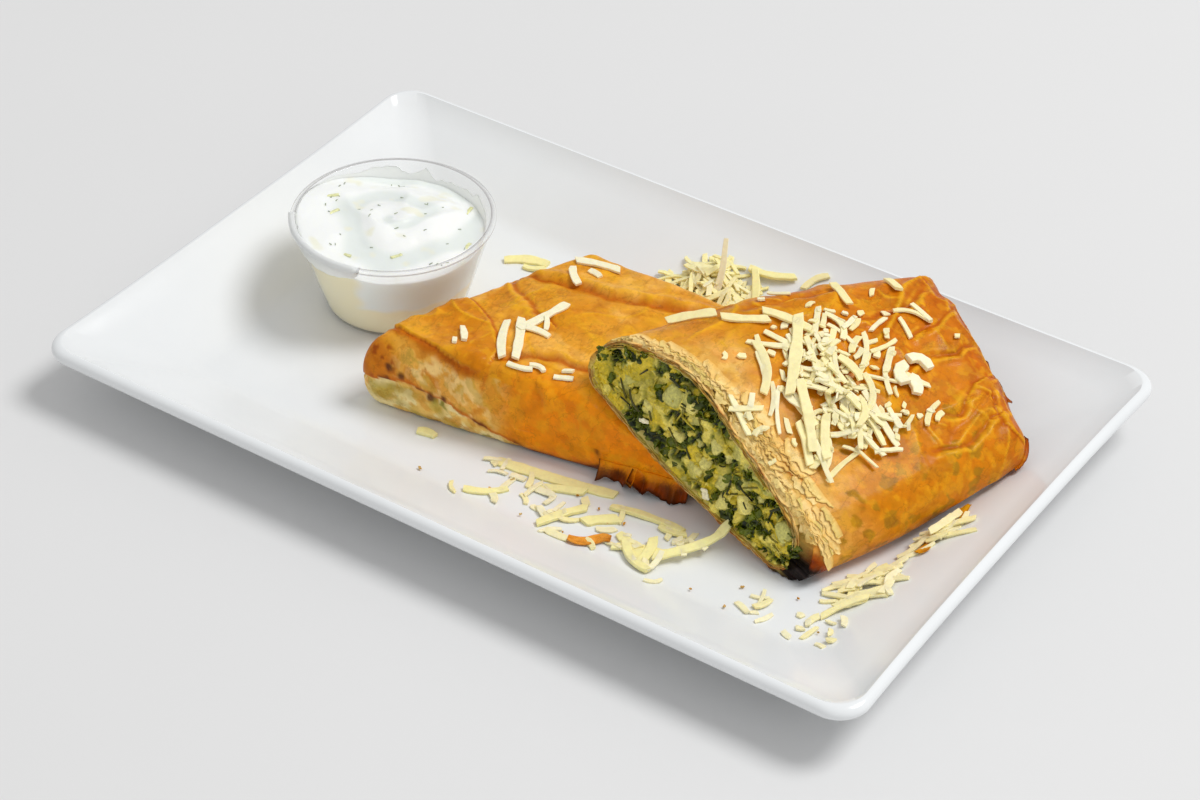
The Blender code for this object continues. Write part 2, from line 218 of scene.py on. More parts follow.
def make_piece(name, points, faces, material, colours=None, smooth_faces=True):
    """A mesh object from arrays in millimetres, which rides on the part."""
    mesh = bpy.data.meshes.new(name)
    mesh.from_pydata((np.asarray(points) * MM).tolist(), [], [list(map(int, face)) for face in faces])
    mesh.polygons.foreach_set("use_smooth", [smooth_faces] * len(mesh.polygons))
    mesh.materials.append(material)
    if colours is not None:
        tint = mesh.attributes.new("tint", "FLOAT_COLOR", "POINT")
        rgba = np.concatenate((colours, np.ones((len(colours), 1))), 1)
        tint.data.foreach_set("color", rgba.astype(np.float32).ravel())
    mesh.update()
    piece = bpy.data.objects.new(name, mesh)
    bpy.context.scene.collection.objects.link(piece)
    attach(piece, "root")
    return piece


def grid_faces(index):
    """Faces over a grid of vertex numbers."""
    return np.stack((index[:-1, :-1], index[:-1, 1:], index[1:, 1:], index[1:, :-1]), -1).reshape(-1, 4)


def loop_faces(lower, upper):
    """Faces between two closed loops of vertex numbers."""
    return np.stack((lower, np.roll(lower, -1), np.roll(upper, -1), upper), -1)


def tube_faces(loops):
    """Faces along a row of closed loops of vertex numbers, with one over each end."""
    faces = [face for lower, upper in zip(loops, loops[1:]) for face in loop_faces(lower, upper)]
    return faces + [loops[0][::-1], loops[-1]]


def rim_of(index):
    """The closed loop round a grid of vertex numbers."""
    return np.concatenate((index[0], index[1:, -1], index[-1, -2::-1], index[-2:0:-1, 0]))


def numbered(rows, columns):
    """Vertex numbers of a grid."""
    return np.arange(rows * columns).reshape(rows, columns)


def normals_of(points, faces):
    """Unit normals at the vertices of a mesh of quads."""
    corners = points[faces]
    across = np.cross(corners[:, 2] - corners[:, 0], corners[:, 3] - corners[:, 1])
    total = np.zeros_like(points)
    for k in range(4):
        np.add.at(total, faces[:, k], across)
    return total / np.maximum(np.linalg.norm(total, axis=1), 1e-6)[:, None]


def tree_of(points, faces):
    return BVHTree.FromPolygons(points.tolist(), faces.tolist())


def moved(points, place):
    """Points of a half's own frame in the part's frame."""
    return points @ np.array(place.to_3x3()).T + np.array(place.translation)


class Parts:
    """Many small meshes collected into one piece."""

    def __init__(self):
        self.points = []
        self.faces = []
        self.colours = []
        self.count = 0

    def add(self, points, faces, tint):
        points = np.asarray(points, float).reshape(-1, 3)
        self.points.append(points)
        self.faces += [[int(v) + self.count for v in face] for face in faces]
        self.colours.append(np.broadcast_to(tint, points.shape))
        self.count += len(points)

    def piece(self, name, material, slot, smooth_faces=True):
        points = np.concatenate(self.points)
        colours = np.concatenate(self.colours)
        return make_piece(name, points, self.faces, material, colours, smooth_faces)


# ---------------------------------------------------------------- materials


class Look:
    """A Principled material with nodes added by name."""

    def __init__(self, name, roughness, specular=0.5):
        self.material = bpy.data.materials.new(name)
        self.material.use_nodes = True
        self.tree = self.material.node_tree
        self.shader = self.tree.nodes["Principled BSDF"]
        self.put("Roughness", roughness)
        self.put("Specular IOR Level", specular)

    def put(self, name, value, node=None):
        """Gives a socket of the shader, or of another node, a value or another node's output."""
        socket = (node or self.shader).inputs[name]
        if isinstance(value, bpy.types.NodeSocket):
            self.tree.links.new(value, socket)
        else:
            socket.default_value = value

    def node(self, kind, sockets=(), **settings):
        made = self.tree.nodes.new(kind)
        for name, value in settings.items():
            setattr(made, name, value)
        for name, value in dict(sockets).items():
            self.put(name, value, made)
        return made

    def noise(self, scale, detail=3.0, roughness=0.55, stretch=(1, 1, 1)):
        """Noise in the part's own coordinates, scale being lumps to the metre."""
        place = self.node("ShaderNodeTexCoord").outputs["Object"]
        mapped = self.node("ShaderNodeMapping", {"Vector": place, "Scale": stretch}).outputs["Vector"]
        sockets = {"Vector": mapped, "Scale": scale, "Detail": detail, "Roughness": roughness}
        return self.node("ShaderNodeTexNoise", sockets).outputs["Fac"]

    def ramp(self, value, *stops):
        """Colours or greys at places along a value from 0 to 1."""
        made = self.node("ShaderNodeValToRGB", {"Fac": value})
        elements = made.color_ramp.elements
        while len(elements) < len(stops):
            elements.new(0.5)
        for element, (place, shade) in zip(elements, stops):
            element.position = place
            element.color = (*np.broadcast_to(shade, 3), 1)
        return made.outputs["Color"]

    def tint(self):
        """The colours stored at the vertices."""
        return self.node("ShaderNodeAttribute", attribute_name="tint").outputs["Color"]

    def blend(self, base, over, share, way="MIX"):
        sockets = {0: share, 6: base, 7: over}
        return self.node("ShaderNodeMix", sockets, data_type="RGBA", blend_type=way).outputs[2]

    def colour_by(self, shade, *shades):
        """Colours the surface by one shade multiplied by others."""
        for other in shades:
            shade = self.blend(shade, other, 1.0, "MULTIPLY")
        self.put("Base Color", shade)

    def bump(self, height, distance, strength=1.0):
        sockets = {"Height": height, "Distance": distance, "Strength": strength}
        self.put("Normal", self.node("ShaderNodeBump", sockets).outputs["Normal"])

    def soften(self, weight, radius):
        """Light that scatters under the surface, radius being metres for red, green and blue."""
        self.put("Subsurface Weight", weight)
        self.put("Subsurface Radius", radius)
        self.put("Subsurface Scale", 1.0)


def glaze_look():
    """White glaze with a faint unevenness in its gloss."""
    look = Look("plate_glaze", 0.12, 0.35)
    shade = look.ramp(look.noise(18, 4), (0.35, (0.825, 0.845, 0.855)), (0.65, (0.855, 0.875, 0.885)))
    look.colour_by(shade)
    look.put("Roughness", look.ramp(look.noise(60, 4), (0.3, 0.14), (0.7, 0.22)))
    look.bump(look.noise(45, 2), 0.0002, 0.25)
    return look.material


def filo_look():
    """Baked filo: hairline creases, thin patches, specks, a buttery sheen and a papery grain."""
    look = Look("baked_filo", 0.36, 0.08)
    mottle = look.ramp(look.noise(240, 6, 0.65), (0.3, 0.86), (0.7, 1.10))
    creased = look.ramp(look.noise(70, 6, 0.6, (1.0, 0.5, 1.0)), (0.485, 1.0), (0.5, 0.80), (0.515, 1.0))
    thin = look.ramp(look.noise(110, 6, 0.62), (0.53, 1.0), (0.545, (0.93, 0.86, 0.72)))
    specks = look.ramp(look.noise(1300, 2), (0.66, 1.0), (0.74, 0.80))
    look.colour_by(look.tint(), mottle, creased, thin, specks)
    look.put("Roughness", look.ramp(look.noise(160, 4), (0.3, 0.30), (0.7, 0.50)))
    look.put("Coat Weight", 0.07)
    look.put("Coat Roughness", 0.12)
    look.bump(look.noise(420, 6, 0.66, (1.0, 0.6, 1.0)), 0.0006, 0.5)
    return look.material


def filling_look(name, roughness, grain_scale, depth):
    """Moist chopped filling: the colour of each place with a fine wet grain."""
    look = Look(name, roughness, 0.4)
    mottle = look.ramp(look.noise(grain_scale, 5, 0.65), (0.25, 0.6), (0.5, 1.0), (0.8, 1.5))
    look.colour_by(look.tint(), mottle)
    look.soften(0.12, (0.0014, 0.0012, 0.0005))
    look.bump(look.noise(grain_scale, 5, 0.6), depth, 0.6)
    return look.material


def cheese_look():
    """Grated hard cheese: waxy, a little see-through, with faint grater marks."""
    look = Look("grated_cheese", 0.5, 0.3)
    look.colour_by(look.tint(), look.ramp(look.noise(500, 3), (0.3, 0.93), (0.7, 1.05)))
    look.soften(0.2, (0.0022, 0.0017, 0.0009))
    look.bump(look.noise(900, 3), 0.0002, 0.4)
    return look.material


def yoghurt_look():
    """Smooth, wet and a little see-through."""
    look = Look("yoghurt_dip", 0.28)
    look.colour_by(look.tint())
    look.soften(0.4, (0.006, 0.006, 0.0052))
    look.bump(look.noise(350, 4), 0.0002, 0.35)
    return look.material


def clear_look():
    """Thin clear plastic, clearest where it is looked straight through, with painted grey shade lines along
    its lip.
    """
    look = Look("clear_cup", 0.06)
    shade = look.ramp(look.noise(30, 2), (0.3, (0.78, 0.80, 0.80)), (0.7, (0.84, 0.85, 0.85)))
    # Painted shade: grey and less clear where the vertex tint marks the lip rings
    look.put("Base Color", look.blend(shade, (0.30, 0.28, 0.28, 1), look.tint()))
    slant = look.node("ShaderNodeLayerWeight", {"Blend": 0.4}).outputs["Facing"]
    clarity = look.ramp(slant, (0.0, 0.05), (0.7, 0.12), (1.0, 0.75))
    look.put("Alpha", look.blend(clarity, (0.7, 0.7, 0.7, 1), look.tint()))
    return look.material


def floor_look():
    """A matt floor of an almost even light grey."""
    look = Look("studio_floor", 0.6, 0.2)
    look.colour_by(look.ramp(look.noise(3, 3), (0.3, 0.755), (0.7, 0.77)))
    return look.material


# ---------------------------------------------------------------- plate

RIM_RISE = (PLATE_HEIGHT - WELL_FLOOR) / RIM_WIDTH
RIM_SLOPE = [
    (LIP_THICKNESS, PLATE_HEIGHT - RIM_RISE * LIP_THICKNESS),
    (RIM_WIDTH - WELL_FILLET, WELL_FLOOR + RIM_RISE * WELL_FILLET),
    (RIM_WIDTH, WELL_FLOOR + RIM_RISE * WELL_FILLET * WELL_FILLET_DROP),
    (RIM_WIDTH + WELL_FILLET, WELL_FLOOR),
]


def plate_surface(x, y):
    """Height of the plate's upper surface inside its lip."""
    inset = np.minimum(PLATE_LENGTH / 2 - np.abs(x), PLATE_WIDTH / 2 - np.abs(y))
    return np.interp(inset, *zip(*RIM_SLOPE))


def plate_loop(inset, height, corner_steps=24, side_steps=14):
    """The plate's outline moved inwards, its corner radius passing from the outline's to the well's."""
    half_length = PLATE_LENGTH / 2 - inset
    half_width = PLATE_WIDTH / 2 - inset
    to_well = min(max(inset / RIM_WIDTH, 0), 1)
    radius = mix(PLATE_CORNER, WELL_CORNER, to_well)
    points = []
    for quarter, (side_x, side_y) in enumerate(((1, 1), (-1, 1), (-1, -1), (1, -1))):
        angles = np.radians(90 * (quarter + np.arange(corner_steps + 1) / corner_steps))
        middle = side_x * (half_length - radius), side_y * (half_width - radius)
        corner = np.stack((middle[0] + radius * np.cos(angles), middle[1] + radius * np.sin(angles)), 1)
        reach = middle[1] * np.arange(side_steps) / side_steps
        side = np.stack((np.full(side_steps, side_x * half_length), reach), 1)
        points += [side, corner] if side_x == side_y else [corner, side[:0:-1]]
    outline = np.concatenate(points)
    straight = np.clip(np.abs(outline[:, 1]) / (half_width - radius), 0, 1)
    outline[:, 0] -= np.sign(outline[:, 0]) * PLATE_BOW * (1 - to_well) * (1 - straight**3)
    return np.column_stack((outline, np.full(len(outline), height)))


def plate_profile():
    """(inset, height) from the middle of the base, out under the rim, round the lip and into the well."""
    half = LIP_THICKNESS / 2
    profile = [
        (FOOT_INSET + FOOT_WIDTH + FOOT_RECESS, FOOT_RECESS),
        (FOOT_INSET + FOOT_WIDTH, 0.0),
        (FOOT_INSET, 0.0),
        (FOOT_INSET - FOOT_SLANT, FOOT_HEIGHT),
    ]
    for angle in math.pi * np.linspace(-0.5, 0.5, 19):
        profile.append((half * (1 - math.cos(angle)), PLATE_HEIGHT - half + half * math.sin(angle)))
    first, last = RIM_SLOPE[:2]
    for share in (0.0, 0.25, 0.5, 0.75, 1.0):
        profile.append((mix(first[0], last[0], share), mix(first[1], last[1], share)))
    drop = last[1] - WELL_FLOOR
    for share in (0.2, 0.4, 0.6, 0.8, 1.0):
        profile.append((last[0] + 2 * WELL_FILLET * share, WELL_FLOOR + drop * (1 - share) ** 2))
    return profile


def make_plate():
    """The glazed plate, closed by its recessed base and its well."""
    loops = [plate_loop(inset, height) for inset, height in plate_profile()]
    faces = tube_faces(numbered(len(loops), len(loops[0])))
    plate = make_piece("plate_glazed", np.concatenate(loops), faces, glaze_look())
    plate.data.set_sharp_from_angle(angle=math.radians(40))
    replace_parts(plate, "plate")


# ---------------------------------------------------------------- shape of the two halves


def front_place():
    """Placement of the front half: u into the pie, v along its cut, w out of its base."""
    v_axis = (FRONT_CUT_LEAN - FRONT_CUT_FOOT).normalized()
    across = FRONT_RIM_CORNER - FRONT_CUT_FOOT
    u_axis = (across - across.dot(v_axis) * v_axis).normalized()
    place = Matrix((u_axis, v_axis, u_axis.cross(v_axis))).transposed().to_4x4()
    place.translation = FRONT_CUT_FOOT
    return place


FRONT_PLACE = front_place()
REAR_PLACE = Matrix.Translation(REAR_ORIGIN) @ Matrix.Rotation(math.pi, 4, "Z")


def front_sag(u, v):
    """How far the front half's base hangs below its plane."""
    width = (FRONT_CUT_LEAN - FRONT_CUT_FOOT).length
    along_cut = np.sin(math.pi * np.clip(v / width, 0, 1))
    return FRONT_BELLY * along_cut * np.clip(1 - u / FRONT_BELLY_LENGTH, 0, 1) ** 2


def under_front(x, y):
    """Height of the front half's base over a point of the plate."""
    turn = np.array(FRONT_PLACE.to_3x3())
    scale = turn[0, 0] * turn[1, 1] - turn[0, 1] * turn[1, 0]
    dx = x - FRONT_CUT_FOOT.x
    dy = y - FRONT_CUT_FOOT.y
    u = (dx * turn[1, 1] - dy * turn[0, 1]) / scale
    v = (dy * turn[0, 0] - dx * turn[1, 0]) / scale
    return moved(np.stack((u, v, -front_sag(u, v)), -1), FRONT_PLACE)[..., 2]


class Half:
    """One half of the pie in its own frame: u from its cut, v across it and w up."""

    def __init__(self, place, side_low, side_high, heights, edge_radius, corner_radius, corner_fold, lean):
        self.place = place
        self.side_low = np.array(side_low)
        self.side_high = np.array(side_high)
        self.heights = np.array(heights)
        self.edge_radius = edge_radius
        self.corner_radius = corner_radius
        self.corner_fold = corner_fold
        self.lean = lean
        self.outward = np.array((-1, 0, lean)) / math.hypot(1, lean)
        self.length = np.linalg.norm(self.side_low[-1] - self.side_low[0])
        self.width = np.linalg.norm(self.side_high[1] - self.side_low[1])

    def base_plane(self, u, v):
        """The part's coordinates of points of the half's base plane."""
        return np.moveaxis(moved(np.stack((u, v, 0 * u), -1), self.place), -1, 0)

    def highest(self, u, v):
        """The most that the top may rise at a point of the half's plan."""
        return np.full(np.shape(u), math.inf)

    def lowest(self, u, v):
        """The height of the base at a point of the half's plan."""
        return np.zeros(np.shape(u))

    def section(self, s, q, skin_top=0.0, skin_side=0.0, skin_base=0.0):
        """Points of the top and of the bottom, at shares s of the length and q of the width."""
        s, q = np.broadcast_arrays(np.asarray(s, float), np.asarray(q, float))
        low = np.stack([along(self.side_low[:, k], s) for k in (0, 1)], -1)
        high = np.stack([along(self.side_high[:, k], s) for k in (0, 1)], -1)
        width = np.linalg.norm(high - low, axis=-1)
        to_end = (1 - s) * self.length
        corner = self.corner_radius
        near_end = np.clip(corner - to_end, 0, corner)
        cut_in = corner - np.sqrt(corner**2 - near_end**2)
        from_side = mix(cut_in, width - cut_in, q)
        side = np.minimum(from_side, width - from_side)
        in_corner = (side < corner) & (to_end < corner)
        round_corner = corner - np.hypot(corner - side, corner - to_end)
        edge = np.where(in_corner, round_corner, np.minimum(side, to_end))
        fold = self.corner_fold * (1 - s) ** 5 if skin_side else 0.0
        from_side = mix(skin_side + fold, width - skin_side, from_side / width)
        plan = low + (high - low) * (from_side / width)[..., None]
        middle = self.side_low[0] + (self.side_high[0] - self.side_low[0]) * q[..., None]
        inwards = middle - plan
        inwards /= np.maximum(np.linalg.norm(inwards, axis=-1), 1e-6)[..., None]
        plan = plan + inwards * (skin_side * s)[..., None]
        u, v = plan[..., 0], plan[..., 1]
        dome = np.sqrt(1 - (1 - np.clip(edge / self.edge_radius, 0, 1)) ** 2)
        base_dome = np.sqrt(1 - (1 - np.clip(edge / (BASE_ROUND_SHARE * self.edge_radius), 0, 1)) ** 2)
        full = along([along(row, q) for row in self.heights], s)
        belt = BELT_SHARE * full
        top = np.minimum(mix(belt, full - skin_top, dome), self.highest(u, v) - skin_top)
        bottom = mix(belt, self.lowest(u, v) + skin_base, base_dome)
        slope = self.lean * (1 - s) ** 2
        return tuple(np.stack((u + slope * height, v, height), -1) for height in (top, bottom))


class RearHalf(Half):
    def highest(self, u, v):
        x, y, z = self.base_plane(u, v)
        return under_front(x, y) - 2 * GAP - z


class FrontHalf(Half):
    def lowest(self, u, v):
        x, y, z = self.base_plane(u, v)
        return np.maximum(-front_sag(u, v), (plate_surface(x, y) + GAP - z) / self.place[2][2])


REAR = RearHalf(
    REAR_PLACE,
    side_low=((0, 0), (28, 0.5), (56, 0.5), (83, -0.5)),
    side_high=((-7, 73), (35, 81.5), (78, 89), (120.5, 94.5)),
    heights=((27, 29, 29, 27), (29, 32, 32, 30), (27, 29, 30, 29)),
    edge_radius=8,
    corner_radius=8,
    corner_fold=0,
    lean=0.0,
)
FRONT = FrontHalf(
    FRONT_PLACE,
    side_low=((1, -8.5), (33, -15), (66, -18.5), (99, -20.5)),
    side_high=((0, 97.8), (39, 85), (80, 71.5), (121, 54)),
    heights=((20, 27, 33, 22), (20, 26, 30, 25), (15, 18, 19, 16)),
    edge_radius=12,
    corner_radius=9,
    corner_fold=6,
    lean=0.36,
)


def even_over_round(count, length, start_round, end_round):
    """Shares of a length, evenly spaced over its straight middle and the quarter circles at its ends."""
    start_arc = 0.5 * math.pi * start_round
    end_arc = 0.5 * math.pi * end_round
    total = length - start_round - end_round + start_arc + end_arc
    run = np.linspace(0, total, count)
    place = start_round + run - start_arc
    if start_round:
        place = np.where(run < start_arc, start_round * (1 - np.cos(run / start_round)), place)
    left = total - run
    place = np.where(left < end_arc, length - end_round * (1 - np.cos(left / end_round)), place)
    return place / length


def across_half(half, count):
    """Shares of a half's width, evenly spaced over its rounded sides."""
    return even_over_round(count, half.width, half.edge_radius, half.edge_radius)


# ---------------------------------------------------------------- crust

CRUST_ROWS = 200
CRUST_COLUMNS = 216
POCKET_DEPTHS = (0.0, 0.03, 0.09)  # of the hollow that holds the filling, as shares of the length
BASE_RELIEF = 0.25  # share of the relief that the base gets
FRONT_BASE_RELIEF = 0.35  # what the front half's base gets of that


class Skin:
    """The outside of a half's crust as arrays, closed by a shallow hollow at its cut."""

    def __init__(self, half):
        self.half = half
        s = even_over_round(CRUST_ROWS + 1, half.length, 0, half.edge_radius)
        q = across_half(half, CRUST_COLUMNS + 1)
        s_grid, q_grid = spread(s, q)
        top, bottom = half.section(s_grid, q_grid)
        top_index = numbered(*top.shape[:2])
        bottom_index = top_index.copy()
        inner = (slice(0, -1), slice(1, -1))
        count = bottom_index[inner].size
        bottom_index[inner] = top_index.size + np.arange(count).reshape(bottom_index[inner].shape)
        self.points = np.concatenate((top.reshape(-1, 3), bottom[inner].reshape(-1, 3)))
        self.s = np.concatenate((s_grid.ravel(), s_grid[inner].ravel()))
        self.q = np.concatenate((q_grid.ravel(), q_grid[inner].ravel()))
        self.top = np.concatenate((np.ones(top_index.size), np.zeros(count)))
        faces = [grid_faces(top_index), grid_faces(bottom_index)[:, ::-1]]
        ring = np.concatenate((top_index[0], bottom_index[0, -2:0:-1]))
        for depth in POCKET_DEPTHS:
            tops, bottoms = half.section(np.full_like(q, depth), q, *CRUST)
            inner_ring = len(self.points) + np.arange(len(ring))
            self.points = np.concatenate((self.points, tops, bottoms[-2:0:-1]))
            self.s = np.concatenate((self.s, np.full(len(ring), depth)))
            self.q = np.concatenate((self.q, q, q[-2:0:-1]))
            self.top = np.concatenate((self.top, np.full(len(ring), -1.0)))
            faces.append(loop_faces(inner_ring, ring))
            ring = inner_ring
        tops = ring[: len(q)]
        bottoms = np.concatenate((ring[:1], ring[: len(q) - 1 : -1], ring[len(q) - 1 : len(q)]))
        faces.append(grid_faces(np.stack((tops, bottoms)))[:, ::-1])
        self.faces = np.concatenate(faces)[:, ::-1]
        self.normals = normals_of(self.points, self.faces)
        self.outside = (self.top >= 0).astype(float)

    def raise_by(self, relief):
        """Moves the outside along its normals, and says how far the top stood above its surroundings."""
        above = self.above_neighbours(relief)
        relief = np.where(self.top > 0, relief, BASE_RELIEF * relief)
        self.points = self.points + self.normals * (relief * self.outside)[:, None]
        self.normals = normals_of(self.points, self.faces)
        return above

    def above_neighbours(self, relief, reach=3):
        """How far each point of the top stands above its neighbours."""
        shape = CRUST_ROWS + 1, CRUST_COLUMNS + 1
        top = relief[: shape[0] * shape[1]].reshape(shape)
        mean = top
        for _ in range(reach):
            wide = np.pad(mean, 1, mode="edge")
            mean = (wide[2:, 1:-1] + wide[:-2, 1:-1] + wide[1:-1, 2:] + wide[1:-1, :-2] + mean) / 5
        above = np.zeros(len(self.points))
        above[: top.size] = (top - mean).ravel()
        return above

    def line(self, corners):
        """Distance to a line on the surface, positive on its left, and the share of its length passed."""
        corners = np.array(corners, float)
        runs = np.linalg.norm(np.diff(corners, axis=0), axis=1)
        passed = np.concatenate(([0], np.cumsum(runs))) / runs.sum()
        nearest = np.full(len(self.points), math.inf)
        signed = np.zeros(len(self.points))
        share = np.zeros(len(self.points))
        for k, (start, end) in enumerate(zip(corners, corners[1:])):
            way = (end - start) / runs[k]
            offset = self.points - start
            run = np.clip(offset @ way, 0, runs[k])
            away = offset - run[:, None] * way
            distance = np.linalg.norm(away, axis=1)
            side = np.sign((self.normals * np.cross(way, away)).sum(1))
            closer = distance < nearest
            nearest = np.where(closer, distance, nearest)
            signed = np.where(closer, distance * side, signed)
            share = np.where(closer, mix(passed[k], passed[k + 1], run / runs[k]), share)
        return signed, share


def ends_fade(share, length=0.12):
    """1 along a line and 0 at its two ends."""
    return smooth(0, length, share) * smooth(0, length, 1 - share)


def creases(skin, folds):
    """Relief of folded creases, each a valley with a soft ridge on its left, and how near they are, as
    painted shade.

    Each fold has a depth, a width, the strength of its shading, a seed and the corners of its line.
    """
    relief = np.zeros(len(skin.points))
    shading = np.zeros(len(skin.points))
    for depth, width, strength, seed, corners in folds:
        distance, share = skin.line(corners)
        distance = distance + 1.2 * noise(skin.points, 7, seed)
        valley = bell(distance, width) * ends_fade(share)
        ridge = 0.8 * bell(distance - 1.9 * width, 1.3 * width) * ends_fade(share)
        relief = relief + depth * (ridge - valley)
        shading = np.maximum(shading, strength * valley)
    return relief, shading


def sheet_edge(skin, height, corners, seed, falloff=14):
    """Relief of a sheet of filo that lies on the line's left and ends at it, and painted shade just past its
    edge.
    """
    distance, share = skin.line(corners)
    distance = distance + 0.7 * layers(skin.points, 6, 3, seed)
    step = smooth(-0.35, 0.35, distance) * smooth(falloff, 0.2 * falloff, distance)
    fade = ends_fade(share, 0.08)
    return height * step * fade, bell(distance + 0.3, 0.7) * fade


GOLD = colour(228, 156, 28)
AMBER = colour(214, 126, 2)
HONEY = colour(244, 180, 30)
TAN = colour(246, 196, 104)
ORANGE = colour(198, 98, 0)
RUST = colour(158, 66, 4)
BROWN = colour(104, 48, 14)
CHAR = colour(30, 22, 22)
OLIVE = colour(170, 122, 18)
DOUGH = colour(236, 214, 146)
DOUGH_WET = colour(204, 186, 70)
DOUGH_INSIDE = mix(DOUGH, DOUGH_WET, 0.5)
FLAKY = colour(252, 222, 150)
GREEN_STAIN = colour(184, 160, 56)


def crumple(points, size, stretch, seed):
    """Soft branching folds, 1 along their crests and 0 between them."""
    return ridges(shifted(points * stretch, 0.3 * size, 1.6 * size, seed), size, seed + 5, 1.8)


def common_relief(skin, crumpled, stretch):
    """Relief of any baked filo: a slack pillow, folds where it is crumpled, blisters and a papery surface."""
    points = skin.points
    folds = crumple(points, 17, stretch, 3)
    small_folds = crumple(points, 9, (1.0, 0.6, 1.0), 9) * smooth(-0.1, 0.4, noise(points, 18, 10))
    blister, _ = lumps(points, 7, 4)
    relief = 0.55 * layers(points, 26, 2, 1)
    relief = relief + crumpled * (1.15 * (folds - 0.3) + 0.6 * (small_folds - 0.2))
    relief = relief + 0.16 * (0.6 - np.minimum(blister, 1)) + 0.05 * layers(points, 2.4, 2, 6)
    return relief, folds, small_folds


def fine_pattern(points, tint, above, seed, plain):
    """Crisp-edged see-through patches, hairline creases, painted shade in the hollows and painted highlight
    on the crests.
    """
    patch = smooth(0.05, 0.12, layers(shifted(points, 2, 5, seed), 8, 3, seed + 1))
    hair = smooth(0.88, 0.98, ridges(shifted(points, 1.5, 5, seed + 2), 8, seed + 3, 1.0))
    wrinkle = smooth(0.80, 0.97, ridges(points, 14, seed + 4, 1.0))
    above = above * (1 - plain)
    return paint(
        tint,
        (mix(AMBER, OLIVE, 0.4), 0.22 * patch),
        (HONEY, 0.30 * smooth(0.1, 0.2, layers(points, 6, 3, seed + 6))),
        (RUST, (0.22 * hair + 0.15 * wrinkle) * (1 - 0.7 * plain)),
        # Painted shade in the hollows and painted highlight on the crests, from how far each point stands
        # above its neighbours
        (mix(ORANGE, RUST, 0.4), 0.6 * smooth(0.01, 0.12, -above)),
        (HONEY, 0.65 * smooth(0.01, 0.10, above)),
    )


FRONT_CREASES = (
    (0.7, 1.2, 1, 20, ((112, 47, 18), (97, 44, 22), (80, 47, 25), (66, 52, 27))),
    (0.7, 1.2, 1, 21, ((114, 36, 16), (100, 33, 21), (86, 33, 24))),
    (0.7, 1.2, 1, 22, ((110, 22, 17), (98, 20, 21), (84, 26, 24), (74, 24, 25))),
    (0.7, 1.2, 1, 23, ((107, 8, 15), (94, 8, 19), (82, 2, 21), (72, 6, 23))),
    (0.7, 1.2, 1, 24, ((102, -5, 14), (90, -5, 18), (76, -8, 19), (60, -2, 22))),
    (0.7, 1.2, 1, 25, ((98, 5, 18), (93, -8, 17), (96, -17, 9))),
    (0.9, 2.0, 0, 31, ((84, 63, 22), (72, 66, 24), (60, 68, 25), (44, 75, 25))),
)
FRONT_BURN = (1.5, -4.5, 5.0)
FRONT_CRISP_EDGE = (108, 30, 12), (104, 12, 10), (100, -2, 9)
TERRACES = 5
TERRACE_HEIGHT = 0.25


def torn_terraces(points, q, from_cut):
    """How many torn sheets lie open at each point above the cut, reaching farthest beside its foot."""
    reach = mix(1.0, 9.5, smooth(0.10, 0.22, q) * smooth(0.80, 0.45, q))
    torn_from = from_cut + 1.6 * layers(points, 6, 3, 41) + 0.4 * noise(points, 1.6, 42)
    return sum(smooth(0.2, -0.2, torn_from - reach * (1 - k / TERRACES)) for k in range(TERRACES))


def terrace_coats(points, terraces):
    """The torn sheets' colours, from flaky on top to wet dough at the bottom, with painted shade at each
    edge.
    """
    step = terraces - np.floor(terraces)
    return (
        (mix(TAN, FLAKY, 0.5), 0.9 * np.clip(terraces, 0, 1)),
        (mix(GOLD, DOUGH_WET, 0.35), 0.4 * (np.floor(terraces) % 2) * (terraces > 0.9)),
        # Painted shade: a darker line along the edge of each torn sheet
        (mix(GOLD, OLIVE, 0.5), 0.6 * smooth(0.1, 0.9, step) * smooth(1, 0.9, step)),
        (DOUGH_WET, 0.5 * smooth(4.0, 4.8, terraces + 0.8 * noise(points, 4, 56))),
    )


def see_through_spots(points, q):
    """Where the filling shows darkly through the front half's lower side."""
    spot, number = lumps(shifted(points, 2.5, 5, 53), 6.5, 54)
    spotted = smooth(0.52, 0.42, spot + 0.15 * noise(points, 3, 55)) * (number > 0.5)
    return spotted * smooth(0.5, 0.28, q) * smooth(10, 20, points[:, 0]) * smooth(95, 75, points[:, 0])


